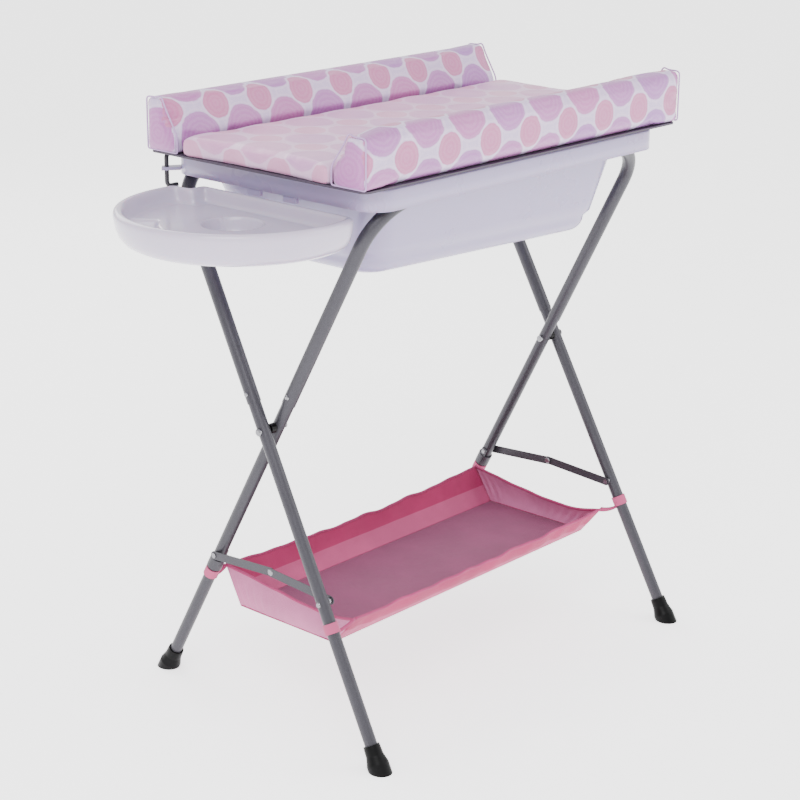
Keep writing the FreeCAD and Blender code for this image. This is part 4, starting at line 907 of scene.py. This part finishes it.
def wall_points(side, rows=26, count=120):
    """P(s, t) = floor edge + t (hem - floor edge), bellied outwards by sin(pi t), gathered at its ends."""
    top = hem_line(side, count)
    s = np.linspace(0, 1, count)
    arch = 4 * s * (1 - s)
    if side in ("near", "far"):
        way = -1 if side == "near" else 1
        low = np.stack([FLOOR_X * (2 * s - 1) + MIDDLE, np.full(count, way * FLOOR_Y),
                        np.full(count, FLOOR_Z - 0.002)], 1)
        out = np.array([0.0, way, -0.35])
    else:
        way = -1 if side == "left" else 1
        low = np.stack([np.full(count, way * FLOOR_X) + MIDDLE, FLOOR_Y * (2 * s - 1),
                        np.full(count, FLOOR_Z - 0.002)], 1)
        out = np.array([way, 0.0, -0.35])
    t = np.linspace(0, 1, rows)[:, None, None]
    points = low[None] + t * (top - low)[None]
    gathers = 0.0022 * np.exp(-6 * s) * np.sin(90 * s) + 0.0022 * np.exp(-6 * (1 - s)) * np.sin(90 * (1 - s))
    folds = 0.0010 * np.sin(s * 31 + way) * np.sin(s * 57)
    belly = (0.006 * np.sqrt(arch) + (gathers + folds) * np.minimum(1, arch * 6))[None, :, None]
    return points + np.sin(math.pi * t) * belly * out


def wall_uv(points):
    """Metres along the wall and metres up it."""
    along = np.concatenate([[0], np.cumsum(np.linalg.norm(np.diff(points[0], axis=0), axis=1))])
    up = np.concatenate([np.zeros((1, points.shape[1])),
                         np.cumsum(np.linalg.norm(np.diff(points, axis=0), axis=2), axis=0)])
    return np.stack([np.broadcast_to(along[None], up.shape), up], -1)


def thicken(piece, amount):
    solid = piece.modifiers.new("cloth", "SOLIDIFY")
    solid.thickness, solid.offset = amount, 0.0
    return piece


def basket_squash(piece, slot_name):
    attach(piece, "basket")
    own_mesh(piece)


def basket():
    for side, node, slot_name, finish in (
            ("near", "basket_near_wall", "basket_cloth", BASKET_CLOTH),
            ("far", "basket_far_wall", "basket_cloth", BASKET_CLOTH),
            ("left", "basket_left_end", "basket_pale_cloth", PALE_CLOTH),
            ("right", "basket_right_end", "basket_pale_cloth", PALE_CLOTH)):
        points = wall_points(side)
        uv = wall_uv(points)
        if side in ("near", "left"):
            points, uv = points[:, ::-1], uv[:, ::-1]
        wall = thicken(grid_piece("basket_%s_panel" % side, points, finish, uv), CLOTH)
        hem = tube_along("basket_%s_hem" % side, hem_line(side), 0.0026, HEM_CLOTH, 10, flat=0.75)
        for piece, slot_of in ((wall, slot_name), (hem, "basket_cloth")):
            apply_modifiers(piece)
            basket_squash(piece, slot_of)
        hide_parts(node)
        cut = float(np.linalg.norm(np.diff(points[0], axis=0), axis=1).sum()), float(uv[..., 1].max())
    n, m = 90, 40
    x, y = np.meshgrid(np.linspace(-1, 1, n) * FLOOR_X, np.linspace(-1, 1, m) * FLOOR_Y, indexing="ij")
    dip = 0.0025 * np.cos(x / FLOOR_X * math.pi / 2) * np.cos(y / FLOOR_Y * math.pi / 2)
    dip -= 0.0006 * np.sin(x * 30 + y * 12) * np.cos(y / FLOOR_Y * math.pi / 2)
    points = np.stack([x + MIDDLE, y, FLOOR_Z - 0.0015 - dip], -1)
    floor = grid_piece("basket_base", points, BASE_CLOTH, np.stack([x, y], -1))
    thicken(floor, 0.003)
    apply_modifiers(floor)
    basket_squash(floor, "basket_base_cloth")
    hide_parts("basket_floor")
    corners = rounded_outline([(-FLOOR_X, -FLOOR_Y), (FLOOR_X, -FLOOR_Y), (FLOOR_X, FLOOR_Y),
                               (-FLOOR_X, FLOOR_Y)], [0.004] * 4)
    line = evenly(corners, 400)
    rim = np.column_stack([line[:, 0] + MIDDLE, line[:, 1], np.full(len(line), FLOOR_Z - 0.001)])
    piping = tube_along("basket_base_piping", rim, 0.0016, HEM_CLOTH, 8, closed=True)
    basket_squash(piping, "basket_cloth")
    tabs = []
    for way, loops in ((-1, "near_basket_loops"), (1, "far_basket_loops")):
        low, high = span(loops)
        for end in (-1, 1):
            corner = np.array([MIDDLE + end * HEM_X, way * HEM[way][0], HEM[way][1]])
            hook = np.array([low[0] + 0.004 if end < 0 else high[0] - 0.004, (low[1] + high[1]) / 2,
                             low[2] + 0.004])
            reach = np.array([MIDDLE + end * (abs(hook[0] - MIDDLE) - 0.004), hook[1], hook[2]])
            t = np.linspace(0, 1, 14)[:, None]
            sag = np.array([0, 0, -0.004]) * 4 * t * (1 - t)
            path = corner + t * (reach - corner) + sag
            tabs.append(tube_along("tab", path, 0.0042 - 0.0016 * t[:, 0], HEM_CLOTH, 10, flat=0.4))
    straps = join_pieces("basket_tabs", tabs)
    basket_squash(straps, "basket_cloth")
    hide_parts("basket_straps")


basket()


# ---- floor, light and camera ------------------------------------------------------------------

def studio():
    world = bpy.data.worlds.new("studio")
    bpy.context.scene.world = world
    world.use_nodes = True
    world.node_tree.nodes["Background"].inputs[0].default_value = (1.0, 1.0, 1.0, 1.0)
    world.node_tree.nodes["Background"].inputs[1].default_value = 1.5
    ground = bpy.data.meshes.new("ground")
    ground.from_pydata([(-12, -12, 0), (12, -12, 0), (12, 12, 0), (-12, 12, 0)], [], [(0, 1, 2, 3)])
    floor = bpy.data.objects.new("ground", ground)
    bpy.context.scene.collection.objects.link(floor)
    ground.materials.append(moulded("ground", paint(250, 250, 250), 0.7, depth=0.0, waviness=0.0,
                                    spread=(0.99, 1.0), Emission_Color=paint(255, 255, 255),
                                    Emission_Strength=1.6))
    floor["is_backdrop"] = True
    for name, place, size_, power in (("key", (-2.6, -1.6, 3.2), 2.4, 110),
                                      ("fill", (2.4, -2.8, 2.4), 2.6, 60),
                                      ("back", (0.6, 3.2, 2.6), 2.4, 60)):
        light = bpy.data.lights.new(name, "AREA")
        light.energy, light.size = power, size_
        lamp = bpy.data.objects.new(name, light)
        lamp.location = place
        lamp.rotation_euler = (Vector((0, 0, 0.6)) - Vector(place)).to_track_quat("-Z", "Y").to_euler()
        bpy.context.scene.collection.objects.link(lamp)
    lens = bpy.data.cameras.new("camera")
    lens.lens, lens.sensor_width = 91.02, 36.0
    camera = bpy.data.objects.new("camera", lens)
    yaw, pitch, roll = -0.8415, -0.3177, 0.0065
    turn = Matrix.Rotation(yaw, 4, "Z") @ Matrix.Rotation(math.pi / 2 + pitch, 4, "X") @ \
        Matrix.Rotation(roll, 4, "Z")
    camera.matrix_world = Matrix.Translation((MIDDLE - 2.409, -2.1072, 1.4988)) @ turn
    bpy.context.scene.collection.objects.link(camera)
    bpy.context.scene.camera = camera


studio()
[[list(map(float, corner)) for corner in box] for box in (cad_box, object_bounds())]
